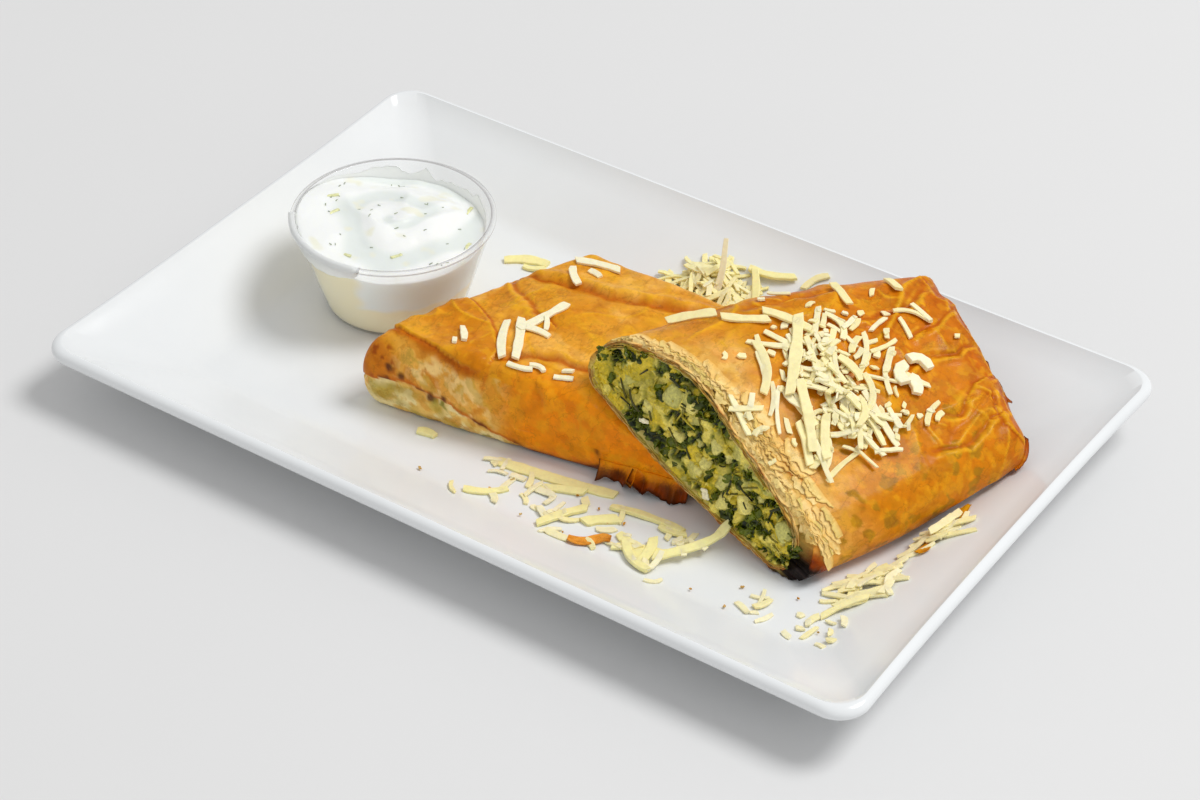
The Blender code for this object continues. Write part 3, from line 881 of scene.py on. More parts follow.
def dress_front(skin):
    """Relief and colour of the front half's crust."""
    points = skin.points
    u, v, w = points.T
    from_cut = skin.s * skin.half.length
    from_end = (1 - skin.s) * skin.half.length
    low_side = smooth(0.22, 0.03, skin.q)
    top = np.clip(skin.top, 0, 1)
    upper = smooth(2, 9, w)

    crumpled = mix(0.25, 1.15, smooth(38, 80, u + 0.35 * v)) * mix(1.0, 0.55, low_side)
    crumpled = crumpled * mix(0.15, 1, upper) * top
    relief, folds, small_folds = common_relief(skin, crumpled, (0.45, 1.0, 1.0))
    pleats, crease_shade = creases(skin, FRONT_CREASES)
    relief = relief + pleats * top
    terraces = torn_terraces(points, skin.q, from_cut)
    relief = relief - TERRACE_HEIGHT * top * (terraces + smooth(3, 0, from_cut))
    relief = relief * np.where(skin.top == 0, FRONT_BASE_RELIEF, 1)
    burn = np.linalg.norm((points - FRONT_BURN) / (1.0, 1.15, 1.0), axis=1) + 1.6 * layers(points, 4, 3, 59)
    relief = relief + 1.0 * layers(points, 3, 2, 48) * smooth(11, 7, burn)
    above = skin.raise_by(relief)
    ragged = 1.0 * layers(points * (0.2, 1, 1), 5, 3, 43) + 0.5 * noise(points * (0, 1, 1), 1.3, 44)
    skin.points[:, 0] -= ragged * bell(from_cut, 3.5) * skin.outside

    patches = layers(points, 20, 3, 50)
    near_cut = smooth(34, 9, from_cut + 7 * patches + 3 * layers(points, 7, 2, 45))
    near_cut = near_cut * upper * (1 - 0.5 * low_side) * (1 - 0.8 * smooth(0.7, 0.85, skin.q))
    orange_end = smooth(20, 3, from_end + 4 * layers(points, 9, 2, 51))
    rusty = smooth(8, 0.5, from_end + 3 * layers(points, 6, 2, 52))
    tint = paint(
        GOLD,
        (AMBER, 0.55 + 0.6 * patches),
        # Painted highlight on the fold crests
        (HONEY, 0.35 * smooth(0.45, 1.0, folds) + 0.2 * smooth(0.5, 1.0, small_folds)),
        # Painted shade between the folds and in the crease valleys
        (ORANGE, 0.35 * smooth(0.35, 0.0, folds) * crumpled + 0.4 * crease_shade),
        (AMBER, 0.6 * low_side * smooth(8, 20, from_cut)),
        (TAN, near_cut),
        (colour(240, 160, 84), 0.5 * near_cut * smooth(0.1, 0.3, layers(points, 12, 3, 46))),
        (colour(216, 120, 0), 0.55 * smooth(55, 90, u)),
        (ORANGE, 0.85 * orange_end),
        (RUST, 0.85 * rusty),
        (BROWN, 0.7 * rusty * smooth(0.0, 0.5, layers(points, 4, 3, 49)) * smooth(0.6, 0.25, skin.q)),
        (OLIVE, 0.85 * see_through_spots(points, skin.q)),
        (OLIVE, 0.30 * smooth(0.25, 0.5, layers(points, 11, 2, 55)) * (1 - orange_end)),
    )
    tint = fine_pattern(points, tint, above, 61, 0.6 * near_cut)

    streaks = smooth(0.0, 0.3, layers(points * (1, 0.25, 1), 0.9, 2, 62)) * (from_cut < 3) * upper
    under = smooth(6, 1.5, w + 1.5 * layers(points, 7, 2, 57))
    crisp, _ = skin.line(FRONT_CRISP_EDGE)
    ash = mix(CHAR, colour(78, 52, 48), smooth(0.0, 0.5, layers(points, 2.2, 2, 60))[:, None])
    tint = paint(
        tint,
        *terrace_coats(points, terraces),
        (mix(OLIVE, BROWN, 0.3), 0.35 * streaks * smooth(10, 15, burn)),
        (RUST, 0.75 * under * smooth(20, 60, u)),
        (AMBER, 0.6 * under * smooth(60, 20, u)),
        (BROWN, 0.8 * smooth(3.0, 0.5, w) * smooth(60, 90, u)),
        (BROWN, 0.9 * bell(crisp, 3.0) * smooth(-0.2, 0.3, noise(points, 5, 58))),
        (RUST, smooth(14, 9.5, burn)),
        (ash, smooth(10.0, 7.4, burn)),
    )
    inside = skin.top < 0
    tint = np.where(inside[:, None], DOUGH_INSIDE, tint)
    return paint(tint, (CHAR, inside * smooth(9.0, 6.2, burn)))


PATCH_EDGE = (
    (70.5, 87.2, 17.8),
    (70, 84, 26),
    (71, 74.7, 30.8),
    (78.2, 67.7, 31),
    (87, 60.6, 31),
    (104, 53, 30),
)
FRONT_EDGE = (
    (114, 79, 25),
    (110, 81.5, 27.6),
    (100.4, 83.8, 29.7),
    (89.4, 84.3, 29.2),
    (79.6, 84.8, 27.8),
    (71, 84, 27),
)
BAND_EDGE = (
    (121, 90, 11),
    (109, 92.8, 13.4),
    (98, 91.2, 15),
    (90.3, 90.6, 13.2),
    (84, 89.7, 12.6),
    (75, 88.2, 8.5),
    (66, 86.4, 5),
    (52, 84, 0.5),
)
CRACK = (27.5, 80, 12), (25.5, 81, 6), (24, 81, 0)
LONG_FOLD = (98, 31, 30), (69, 29, 31), (57.7, 27.6, 31.5), (43, 24, 31.5), (30, 17.5, 30.5), (12, 12, 29)
REAR_CREASES = (
    (1.3, 2.2, 1.0, 76, LONG_FOLD),
    (0.9, 1.6, 0.8, 74, ((71, 81, 29), (64, 73, 31), (52, 68.3, 31.2), (36, 66, 31))),
    (0.7, 1.4, 0.5, 73, ((60, 55, 31), (82, 45, 31), (104, 26, 28))),
    (0.8, 2.0, 0.3, 74, ((53, 78, 29), (49, 82, 23), (55, 85, 17), (61, 85.5, 12))),
    (0.6, 2.4, 0.2, 73, ((82, 86, 25), (88, 89, 18), (84, 89, 12))),
    (0.5, 2.2, 0.2, 73, ((38, 79, 27), (36, 82, 16), (40, 83, 7))),
    (1.0, 1.3, 0.9, 73, CRACK),
)
DARK_CORNER = (113, 91, 20)
SCORCHES = (
    ((89.5, 90.6, 12.5), 2.6),
    ((84.1, 89.6, 13.7), 2.0),
    ((106, 92, 19), 2.4),
    ((101, 91.5, 17), 1.8),
)


def pale_coats(stirred, pale):
    """The pale patches under the ragged edge along the rear half's front side."""
    return (
        (colour(244, 184, 84), 0.85 * pale),
        (colour(255, 216, 140), 0.8 * pale * smooth(0.0, 0.08, layers(stirred, 8, 3, 92))),
        (mix(OLIVE, DOUGH_WET, 0.4), 0.45 * pale * smooth(0.1, 0.16, layers(stirred, 6, 3, 89))),
        (AMBER, 0.6 * pale * smooth(0.2, 0.26, layers(stirred, 10, 3, 94))),
    )


def dough_coats(points, stirred, below, band):
    """The dough that shows below the top sheet, stained green by the filling."""
    stain = smooth(-0.25, 0.5, layers(points, 11, 3, 84)) * smooth(0.6, 3, band)
    green = smooth(0.3, 0.5, layers(points, 8, 2, 82)) * smooth(-0.3, 0.3, noise(points, 2.5, 91))
    return (
        (colour(246, 204, 112), 0.94 * below),
        (colour(255, 232, 166), below * smooth(0.0, 0.12, layers(stirred, 9, 3, 95))),
        (colour(226, 160, 60), 0.7 * below * smooth(0.14, 0.22, layers(stirred, 7, 3, 96))),
        (GREEN_STAIN, 0.8 * below * stain),
        (mix(GREEN_STAIN, SPINACH_LIGHT, 0.8), 0.8 * below * green),
    )


def scorch(skin, points, tint):
    """The scorched spots and the dark crack of the rear half's front side."""
    for place, size in SCORCHES:
        away = np.linalg.norm(points - place, axis=1) + 0.8 * noise(points, 2.5, 90)
        tint = paint(tint, (mix(BROWN, CHAR, 0.4), 0.9 * smooth(1.0, 0.4, away / size)))
    crack, share = skin.line(CRACK)
    return paint(tint, (CHAR, 0.9 * bell(crack, 0.9) * ends_fade(share)))


def dress_rear(skin):
    """Relief and colour of the rear half's crust."""
    points = skin.points
    u, _, w = points.T
    from_end = (1 - skin.s) * skin.half.length
    front_side = smooth(0.80, 0.98, skin.q)
    low_front = smooth(0.7, 0.85, skin.q)
    cut_part = smooth(66, 50, u)
    top = np.clip(skin.top, 0, 1)
    upper = smooth(2, 9, w)

    crumpled = mix(0.30, 0.75, smooth(60, 100, u)) * mix(1, 0.6, front_side)
    crumpled = crumpled * mix(0.15, 1, upper) * top
    relief, folds, _ = common_relief(skin, crumpled, (0.7, 1.0, 1.0))
    patch_rise, patch_edge_shade = sheet_edge(skin, 0.8, PATCH_EDGE, 60)
    front_rise, front_edge_shade = sheet_edge(skin, 1.3, FRONT_EDGE, 64)
    folded, shading = creases(skin, REAR_CREASES)
    relief = relief + (patch_rise + front_rise + folded) * top

    # The top sheet ends in a ragged edge low on the front side, and the pale dough below it shows
    band, band_share = skin.line(BAND_EDGE)
    band = 1.1 * layers(points, 5, 3, 74) - band
    below = smooth(-0.4, 0.4, band) * smooth(1.0, 0.93, band_share) * low_front * smooth(45, 60, u)
    relief = relief + below * (1.3 * layers(points, 6, 3, 76) - 0.9)
    above = skin.raise_by(relief)

    golden = smooth(0.0, 0.25, layers(shifted(points, 5, 12, 97), 26, 3, 98))
    beyond, _ = skin.line(PATCH_EDGE)
    under_edge, edge_share = skin.line(FRONT_EDGE)
    under_edge = under_edge + 0.8 * noise(points, 5, 88)
    pale = smooth(-1.5, -5, under_edge) * smooth(0.78, 0.9, skin.q) * smooth(58, 74, u)
    pale = pale * smooth(108, 98, u) * (w > 4)
    tint = paint(
        colour(238, 170, 54),
        (colour(222, 140, 18), 0.4 + 0.6 * layers(points, 22, 3, 80)),
        (colour(252, 192, 92), 0.6 * golden * (1 - front_side) * upper),
        # Painted highlight on the fold crests of the top, and pale honey patches at random
        (HONEY, 0.5 * smooth(0.4, 1.0, folds) * upper + 0.45 * smooth(0.05, 0.5, layers(points, 16, 2, 81))),
        # The front side's own deep orange, also painted brighter to make up for the little light that side
        # gets
        (colour(250, 142, 0), 0.85 * front_side * smooth(72, 50, u)),
        (AMBER, 0.75 * smooth(-0.3, 0.3, beyond) * smooth(24, 9, beyond)),
    )
    tint = fine_pattern(points, tint, above, 121, front_side)

    stirred = shifted(points, 2.5, 5, 7)
    dark_corner = smooth(13, 5, np.linalg.norm(points - DARK_CORNER, axis=1))
    spots = smooth(0.12, 0.4, layers(points, 3.6, 2, 83))
    rim = bell(band + 0.9, 0.9) * low_front * smooth(1.0, 0.9, band_share) * smooth(50, 62, u)
    # Rust low on the side near the cut: partly browning, partly painted shade
    under = smooth(7.5, 1.5, w + 2.5 * layers(points, 6, 2, 86) + 4 * smooth(20, 40, u)) * cut_part
    # The dark lower edge, reaching higher under the torn flaps as painted shadow so that their tips stand out
    low_edge_and_flap_shadow = smooth(2.6, 0.5, w - 3.5 * smooth(34, 24, u)) * cut_part
    tint = paint(
        tint,
        *pale_coats(stirred, pale),
        # Painted shade just past the edges of the two overlapping sheets
        (ORANGE, 0.6 * np.maximum(patch_edge_shade, front_edge_shade)),
        # Painted shade in a band just below the top sheet's front edge
        (mix(ORANGE, RUST, 0.3), 0.85 * bell(under_edge + 1.8, 1.6) * ends_fade(edge_share)),
        (mix(ORANGE, RUST, 0.25), 0.75 * shading * top),
        (ORANGE, 0.7 * dark_corner),
        (RUST, 0.85 * spots * smooth(0.15, 0.75, dark_corner)),
        *dough_coats(points, stirred, below, band),
        (ORANGE, 0.9 * rim),
        (BROWN, 0.9 * rim * smooth(0.15, 0.4, noise(points, 7, 85))),
        # Partly browning, partly painted shade low on the side near the cut
        (RUST, 0.8 * under),
        (mix(BROWN, CHAR, 0.3), 0.85 * low_edge_and_flap_shadow),
        (RUST, 0.5 * smooth(4, 0, from_end) * smooth(0, 0.4, noise(points, 7, 87))),
    )
    return np.where((skin.top < 0)[:, None], DOUGH_INSIDE, scorch(skin, points, tint))


# ---------------------------------------------------------------- small things: sheets, strips and blobs


def add_sheet(parts, grid, thickness, tint):
    """A thin slab round a grid of points, its colours given at the grid."""
    index = numbered(*grid.shape[:2])
    faces = grid_faces(index)
    flat = grid.reshape(-1, 3)
    shift = 0.5 * thickness * normals_of(flat, faces)
    rim = rim_of(index)
    under = grid_faces(index + index.size)[:, ::-1]
    faces = np.concatenate((faces, under, loop_faces(rim, rim + index.size)))
    tint = np.broadcast_to(tint, grid.shape).reshape(-1, 3)
    parts.add(np.concatenate((flat + shift, flat - shift)), faces, np.concatenate((tint, tint)))


def squared(values, power):
    """The size of each value raised to a power, its sign kept."""
    return np.sign(values) * np.abs(values) ** power


STRIP_ANGLES = np.radians((28, 62, 118, 152, 208, 242, 298, 332))
STRIP_ACROSS = squared(np.cos(STRIP_ANGLES), 0.25)
STRIP_RISE = squared(np.sin(STRIP_ANGLES), 0.4)


def add_strip(parts, line, widths, thickness, side, tint, slant=0.0):
    """A flat bar along a line of points: a shred, a stem or a snip of herb."""
    way = np.gradient(line, axis=0)
    way /= np.linalg.norm(way, axis=1)[:, None]
    side = side - (side * way).sum(-1, keepdims=True) * way
    side /= np.linalg.norm(side, axis=-1, keepdims=True)
    up = np.cross(side, way)
    across = 0.5 * np.broadcast_to(widths, len(line))[:, None] * STRIP_ACROSS
    rise = 0.5 * thickness * STRIP_RISE[None, :, None] * up[:, None]
    rings = line[:, None] + across[..., None] * side[:, None] + rise
    for end in (0, -1):
        rings[end] += slant * across[end, :, None] * way[end]
    parts.add(rings, tube_faces(numbered(*rings.shape[:2])), tint)


BLOB_ROWS = 7
BLOB_COLUMNS = 10


def add_blob(parts, centre, radii, turn, rough, tint, seed, blocky):
    """A lump with an uneven surface; blocky below 1 squares it up."""
    columns = 2 * np.pi * np.arange(BLOB_COLUMNS) / BLOB_COLUMNS
    rise, round_it = spread(np.pi * np.arange(1, BLOB_ROWS) / BLOB_ROWS, columns)
    shell = np.stack((np.sin(rise) * np.cos(round_it), np.sin(rise) * np.sin(round_it), np.cos(rise)), -1)
    shell = squared(np.concatenate((shell.reshape(-1, 3), ((0, 0, 1), (0, 0, -1)))), blocky)
    shell = shell * (1 + rough * noise(shell, 0.8, seed))[:, None]
    points = centre + (shell * radii) @ turn.T
    index = numbered(BLOB_ROWS - 1, BLOB_COLUMNS)
    faces = [face for lower, upper in zip(index, index[1:]) for face in loop_faces(upper, lower)]
    north, south = len(points) - 2, len(points) - 1
    for k in range(BLOB_COLUMNS):
        after = (k + 1) % BLOB_COLUMNS
        faces.append((index[0][k], index[0][after], north))
        faces.append((index[-1][after], index[-1][k], south))
    parts.add(points, faces, tint)


def random_turn(rng):
    """A rotation at random, as a matrix."""
    turn, _ = np.linalg.qr(rng.normal(size=(3, 3)))
    return turn * np.sign(np.linalg.det(turn))


def facing(outward, rng, wobble):
    """A rotation whose third axis points roughly outward, the rest at random."""
    third = outward + wobble * rng.normal(size=3)
    third /= np.linalg.norm(third)
    first = np.cross(third, rng.normal(size=3))
    first /= np.linalg.norm(first)
    return np.stack((first, np.cross(third, first), third), 1)


# ---------------------------------------------------------------- filling

SPINACH = colour(30, 42, 8)
SPINACH_LIGHT = colour(116, 128, 8)
CURD = colour(228, 200, 44)
CURD_PALE = colour(248, 228, 108)
CURD_GREEN = colour(158, 148, 16)
CURD_GREY = colour(206, 200, 110)
FETA = colour(248, 232, 132)
FACE_COLUMNS = 250
FACE_ROWS = 76
FACE_DEPTHS = (0.3, 8)  # of the filling's sides behind its face
LEAF_COUNT = 430
LEAF_THICKNESS = 0.28
STEM_COUNT = 60
STEM_THICKNESS = 0.45
CURD_COUNT = 170
FETA_COUNT = 12
BIT_THICKNESS = 0.5


class CutFace:
    """The filling's surface at the cut, in the half's own frame, spread unevenly over the crust's edge."""

    def __init__(self, half, seed):
        self.half = half
        q = mix(0.008, 0.992, across_half(half, FACE_COLUMNS + 1))
        bare = smooth(-0.35, 0.45, layers(on_line(0 * q, q * half.width), 9, 3, seed + 1))
        top, bottom = half.section(0 * q, q, mix(1.5, 2.7, bare), 1.2, mix(0.6, 1.4, bare))
        in_top, in_bottom = half.section(0 * q, q, *(thickness - GAP for thickness in CRUST))
        rise = np.linspace(0, 1, FACE_ROWS + 1)[:, None, None]
        self.flat = bottom + (top - bottom) * rise
        flat = self.flat.reshape(-1, 3)
        index = numbered(*self.flat.shape[:2])
        height = (top - bottom)[None, :, 2]
        inner = smooth(0, 1.8, (height * np.minimum(rise[..., 0], 1 - rise[..., 0])).ravel())
        wandering = shifted(flat, 2.5, 6, seed)
        leaf_field = layers(wandering, 9, 4, seed + 3)
        leafy = smooth(0.02, 0.14, leaf_field)
        lump, number = lumps(wandering, 5.6, seed)
        small, _ = lumps(shifted(flat, 1, 3, seed + 9), 2.6, seed + 9)
        crinkle = ridges(shifted(flat, 1.2, 2.5, seed + 5), 2.4, seed + 6, 1.2)
        curd = 1.8 * (0.7 - np.minimum(lump, 1)) + 0.6 * (0.6 - np.minimum(small, 1))
        relief = 1.1 * layers(flat, 10, 2, seed + 7) + 0.15 * noise(flat, 1.1, seed + 8)
        relief = relief + mix(curd, 1.3 * (crinkle - 0.5) - 0.9, leafy)
        relief = mix(0.35, relief - 0.5, inner)
        tint = paint(
            CURD,
            (CURD_PALE, smooth(0.5, 0.8, number)),
            (CURD_GREY, smooth(0.35, 0.1, number) * 0.9),
            # Painted shade: greener and darker in the hollows between curd lumps
            (CURD_GREEN, 0.85 * smooth(0.45, 0.95, lump) + 0.4 * smooth(0.5, 1, small)),
            (mix(CURD_GREEN, SPINACH_LIGHT, 0.6), 0.8 * smooth(-0.16, 0.06, leaf_field)),
            # Painted highlight: lighter green along the crests of the crinkled spinach
            (mix(SPINACH, SPINACH_LIGHT, (0.9 * smooth(0.35, 0.9, crinkle))[:, None]), leafy),
        )
        self.relief = relief.reshape(index.shape)
        self.leafy = leafy.reshape(index.shape)
        points = flat + half.outward * relief[:, None]
        self.mesh = self.closed(points, tint, index, mix(in_bottom, in_top, rise))

    def closed(self, points, tint, index, inside):
        """The face's points, faces and colours, with sides and a back that lie inside the crust."""
        rim = rim_of(index)
        rings = [rim]
        for depth in FACE_DEPTHS:
            rings.append(len(points) + np.arange(len(rim)))
            points = np.concatenate((points, inside.reshape(-1, 3)[rim] + (depth, 0, 0)))
            tint = np.concatenate((tint, tint[rim]))
        faces = list(grid_faces(index)[:, ::-1])
        for near, far in zip(rings, rings[1:]):
            faces += list(loop_faces(far, near)[:, ::-1])
        faces.append(rings[-1][::-1])
        return moved(points, self.half.place), faces, tint

    def place(self, across, up, out):
        """A point at shares across the face and up it, a length out of it, and how leafy it is there."""
        spot = int(round(up * FACE_ROWS)), int(round(across * FACE_COLUMNS))
        return self.flat[spot] + self.half.outward * (self.relief[spot] + out), self.leafy[spot]


def add_leaf(parts, centre, turn, reach, rng, tint, highlight_tint):
    """A crumpled snip of spinach leaf."""
    x, y = spread(np.linspace(-1, 1, 9), np.linspace(-1, 1, 9))
    shape = np.stack((x * (1 - 0.25 * y**2), 0.62 * y * (1 - 0.3 * x**2), 0 * x), -1)
    start = rng.uniform(0, 40, 3)
    shape[..., :2] += 0.16 * np.stack([noise(shape + start + k, 0.5, 5) for k in (0, 9)], -1)
    shape[..., 2] = 0.45 * noise(shape + start, 0.7, 3) + 0.26 * noise(shape + start, 0.3, 4)
    # Painted highlight on the leaf's curled rim and on its raised crinkles
    rim_highlight = 0.5 * np.maximum(np.abs(x), np.abs(y)) ** 3 + 0.6 * smooth(0.05, 0.45, shape[..., 2])
    add_sheet(parts, centre + (shape * reach) @ turn.T, LEAF_THICKNESS, paint(tint, (highlight_tint, rim_highlight)))


def scatter_leaves(leaves, face, rng, count):
    """Snips of leaf, most of them where the face is leafy."""
    for _ in range(count):
        at, leafy = face.place(rng.uniform(0.03, 0.97), rng.uniform(0.06, 0.94), rng.uniform(-0.5, 0.6))
        if rng.uniform() > 0.1 + 0.9 * leafy:
            continue
        reach = rng.uniform(1.2, 3.6)
        dark = mix(SPINACH, SPINACH_LIGHT, rng.uniform(0, 0.9) ** 2)
        turn = facing(face.half.outward, rng, 0.9)
        add_leaf(leaves, at, turn, reach, rng, dark, mix(dark, SPINACH_LIGHT, 0.7))


def scatter_stems(leaves, face, rng, count):
    """Bent strings of stem that lie on the face."""
    for _ in range(count):
        at, _ = face.place(rng.uniform(0.1, 0.9), rng.uniform(0.18, 0.82), 0.3)
        turn = facing(face.half.outward, rng, 0.35)
        run = np.linspace(-0.5, 0.5, 9)[:, None] * rng.uniform(4, 12)
        bend = rng.uniform(-0.06, 0.06) * turn[:, 1] - 0.04 * turn[:, 2]
        line = at + run * turn[:, 0] + run**2 * bend
        shade = mix(SPINACH, mix(SPINACH_LIGHT, CURD, 0.6), rng.uniform(0, 1) ** 2)
        widths = rng.uniform(0.5, 1.1) * np.linspace(1, 0.6, 9)
        add_strip(leaves, line, widths, STEM_THICKNESS, turn[:, 1], shade)


def scatter_curds(curds, face, rng, count):
    """Small lumps of curd, most of them where the face isn't leafy."""
    for k in range(count):
        at, leafy = face.place(rng.uniform(0.03, 0.97), rng.uniform(0.05, 0.95), -0.6)
        if rng.uniform() < 0.8 * leafy:
            continue
        radii = rng.uniform(0.5, 1.1 + 1.2 * rng.uniform() ** 2, 3)
        shade = mix(mix(CURD_GREEN, CURD, rng.uniform(0.5, 1)), CURD_PALE, 0.8 * rng.uniform() ** 2)
        add_blob(curds, at, radii, random_turn(rng), 0.6, shade, k, 0.75)


def scatter_feta(curds, face, rng, count):
    """Larger and squarer lumps, sunk into the face."""
    for k in range(count):
        at, _ = face.place(rng.uniform(0.1, 0.92), rng.uniform(0.2, 0.8), -0.9)
        shade = mix(CURD_GREY, FETA, rng.uniform())
        add_blob(curds, at, rng.uniform(1.6, 3.2, 3), random_turn(rng), 0.3, shade, 500 + k, 0.6)


def add_torn_bit(curds, outward, seed, place, way, length, width):
    """A torn white bit of cheese that lies along a direction."""
    run = np.linspace(-0.5, 0.5, 9)
    line = np.array(place) + run[:, None] * length * np.array(way)
    line = line + 0.5 * noise(line, 2, seed)[:, None] * outward
    widths = width * (1 - 0.5 * np.abs(run) + 0.35 * noise(line, 1.1, seed + 1))
    add_strip(curds, line, widths, BIT_THICKNESS, np.cross(outward, way), CHEESE_PALE)


def make_filling(half, node, seed, amount, chosen=(), torn=()):
    """The filling at a half's cut: its lumpy face, leaves, stems and curds.

    The chosen lumps have a place, radii, a colour and a blockiness. The torn bits of cheese have a place,
    a direction, a length and a width.
    """
    rng = np.random.default_rng(seed)
    face = CutFace(half, seed)
    moist = filling_look("filling_" + node, 0.27, 1000, 0.0006)
    points, faces, tint = face.mesh
    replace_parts(make_piece(node + "_curd", points, faces, moist, tint), node)
    leaves = Parts()
    curds = Parts()
    scatter_leaves(leaves, face, rng, int(LEAF_COUNT * amount))
    scatter_stems(leaves, face, rng, int(STEM_COUNT * amount))
    scatter_curds(curds, face, rng, int(CURD_COUNT * amount))
    scatter_feta(curds, face, rng, int(FETA_COUNT * amount))
    for place, radii, shade, blocky in chosen:
        add_blob(curds, np.array(place), radii, facing(half.outward, rng, 0.25), 0.16, shade, 3, blocky)
    for bit in torn:
        add_torn_bit(curds, half.outward, seed, *bit)
    for parts, name, look in (
        (leaves, "_spinach", filling_look("spinach_" + node, 0.2, 1400, 0.0004)),
        (curds, "_lumps", moist),
    ):
        parts.points = [moved(points, half.place) for points in parts.points]
        parts.piece(node + name, look, "spinach_filling")


# ---------------------------------------------------------------- layers at the cut, flaps and flakes

SKY = 200  # height above everything, from which the ground is looked for
DOWN = Vector((0, 0, -1))
PAGE_THICKNESS = 0.25
PAGE_FLOOR = 5  # height below which nothing lies under a page
PAGE_STEPS = 8, 26
PAGE_LEAST_COLUMNS = 6
LAYER_DEPTHS = (0.30, 0.46, 0.62, 0.78, 0.94)  # shares of the crust's thickness
LAYER_THICKNESS = 0.22
FLAP_THICKNESS = 0.3
FLAP_STEPS = 14, 60
FLAP_CLEARANCE = 0.5  # of its lowest edge over the plate
FLAKE_THICKNESS = 0.3


def make_pages(skin, name, seed, count, reaches, span):
    """Torn pages of filo that lie on the crust round the cut and end, ragged, at it.

    The reaches are how far back from the cut they begin, from side to side, and span is their share of it.
    """
    rng = np.random.default_rng(seed)
    half = skin.half
    tree = tree_of(skin.points, skin.faces)
    parts = Parts()
    r, c = spread(np.linspace(0, 1, PAGE_STEPS[0]), np.linspace(-1, 1, PAGE_STEPS[1]))
    for k in range(count):
        width = rng.uniform(6, 20)
        middle = rng.uniform(*span)
        length = rng.uniform(2.0, 5.0)
        deep = float(along(reaches, middle)) * mix(-0.12, 0.9, rng.uniform() ** 1.4) + length
        across = c * width * 0.5
        place = np.stack((0 * c, across, 0 * c + 50 * k), -1)
        ragged = 1.8 * layers(place, 5, 3, seed + k) + 0.7 * noise(place, 1.2, seed + k + 50)
        edge = half.section(0, middle)[0][0]
        u = edge + deep - r * (length * (1 - 0.5 * np.abs(c) ** 3) + ragged)
        v = mix(half.side_low[0][1], half.side_high[0][1], middle) + across
        curl = rng.uniform(0.0, 0.8)
        lift = (r - 0.4) * 0.4 + curl * r**3 + 0.3 * layers(place + 300, 6, 2, seed + k + 90) * r
        w = np.empty_like(u)
        for j in range(u.shape[1]):
            for i in range(u.shape[0]):
                hit = tree.ray_cast(Vector((u[i, j], v[i, j], SKY)), DOWN)[0]
                before = w[i - 1, j] - 0.3 if i else 0
                w[i, j] = hit.z if hit is not None and hit.z > PAGE_FLOOR else before
        keep = w[0] > PAGE_FLOOR
        if keep.sum() < PAGE_LEAST_COLUMNS:
            continue
        grid = np.stack((u, v, w + lift), -1)[:, keep]
        shade = mix(mix(TAN, FLAKY, rng.uniform(0.5, 1)), DOUGH_WET, 0.5 * rng.uniform() ** 3)
        tint = mix(TAN, shade, smooth(0, 0.6, r[:, keep, None]))
        add_sheet(parts, moved(grid, half.place), PAGE_THICKNESS, tint)
    parts.piece(name, filo_look(), "baked_filo")


def make_lips(half, name, seed):
    """The cut ends of the filo layers round the filling: thin ragged sheets that stand out of the cut."""
    parts = Parts()
    q = mix(0.01, 0.99, across_half(half, 260))
    r = np.linspace(0, 1, 6)[:, None]
    for k, deep in enumerate(LAYER_DEPTHS):
        for line, up in zip(half.section(0 * q, q, *(deep * thickness for thickness in CRUST)), (1, -1)):
            place = line + (0, 0, 50 * k)
            reach = np.clip(0.5 + 1.1 * layers(place, 5, 4, seed + k), -0.3, 1.8 if up > 0 else 0.9)
            wave = 0.5 * layers(place, 3, 2, seed + k + 20) * r
            grid = line + half.outward * mix(-1.2, reach, r)[..., None]
            grid = grid + np.array((0, 0, up)) * wave[..., None]
            baked = smooth(0.6, 1.0, r) * smooth(-0.2, 0.4, noise(grid, 5, 9 + k))
            shade = paint(
                mix(mix(TAN, FLAKY, 0.5), DOUGH_WET, 0.2 * k),
                (DOUGH, 0.7 * smooth(0, 0.5, noise(grid, 6, k))),
                (mix(ORANGE, OLIVE, 0.2 * k), 0.7 * baked),
            )
            add_sheet(parts, moved(grid, half.place), LAYER_THICKNESS, shade)
    parts.piece(name, filo_look(), "baked_filo")


def add_flap(parts, tree, colours, start, end, drop, out, seed, tips):
    """A torn edge of the crust between two places on it, hanging and curled outwards.

    The colours are those of the crust's faces. The tips are the lengths of its pointed ends, evenly spaced.
    """
    r, c = spread(*(np.linspace(0, 1, steps) for steps in FLAP_STEPS))
    top_line = mix(np.array(start, float), np.array(end, float), c[..., None])
    place = top_line * (1, 1, 0) + (0, 0, 10 * seed)
    fall = drop * np.interp(c, np.linspace(0, 1, len(tips)), tips)
    fall = fall * (1 + 0.1 * noise(place, 1.3, seed + 1) + 0.25 * layers(place, 4, 2, seed))
    grid = top_line - np.array((0, 0, 1)) * (r * fall)[..., None]
    away = out * r**2.2 * (1.2 + layers(place, 7, 2, seed + 2)) + 0.12 + 0.3 * smooth(0.2, 0.8, r)
    shade = np.empty_like(grid)
    for spot in np.ndindex(r.shape):
        at, normal, face, _ = tree.find_nearest(Vector(grid[spot]))
        shade[spot] = colours[face]
        grid[spot] = np.array(at) + np.array(normal) * away[spot]
    grid[..., 2] = np.maximum(grid[..., 2], plate_surface(grid[..., 0], grid[..., 1]) + FLAP_CLEARANCE)
    shade = paint(
        shade,
        (RUST, 0.8 * smooth(0.4, 0.9, r) * smooth(-0.6, 0.2, noise(place, 5, seed + 4))),
        (mix(BROWN, CHAR, 0.5), 0.95 * np.maximum(smooth(0.86, 0.97, r), smooth(0.05, 0.0, c))),
    )
    add_sheet(parts, grid, FLAP_THICKNESS, shade)


def make_flaps(name, tree, colours, flaps):
    parts = Parts()
    for flap in flaps:
        add_flap(parts, tree, colours, *flap)
    parts.piece(name, filo_look(), "baked_filo")


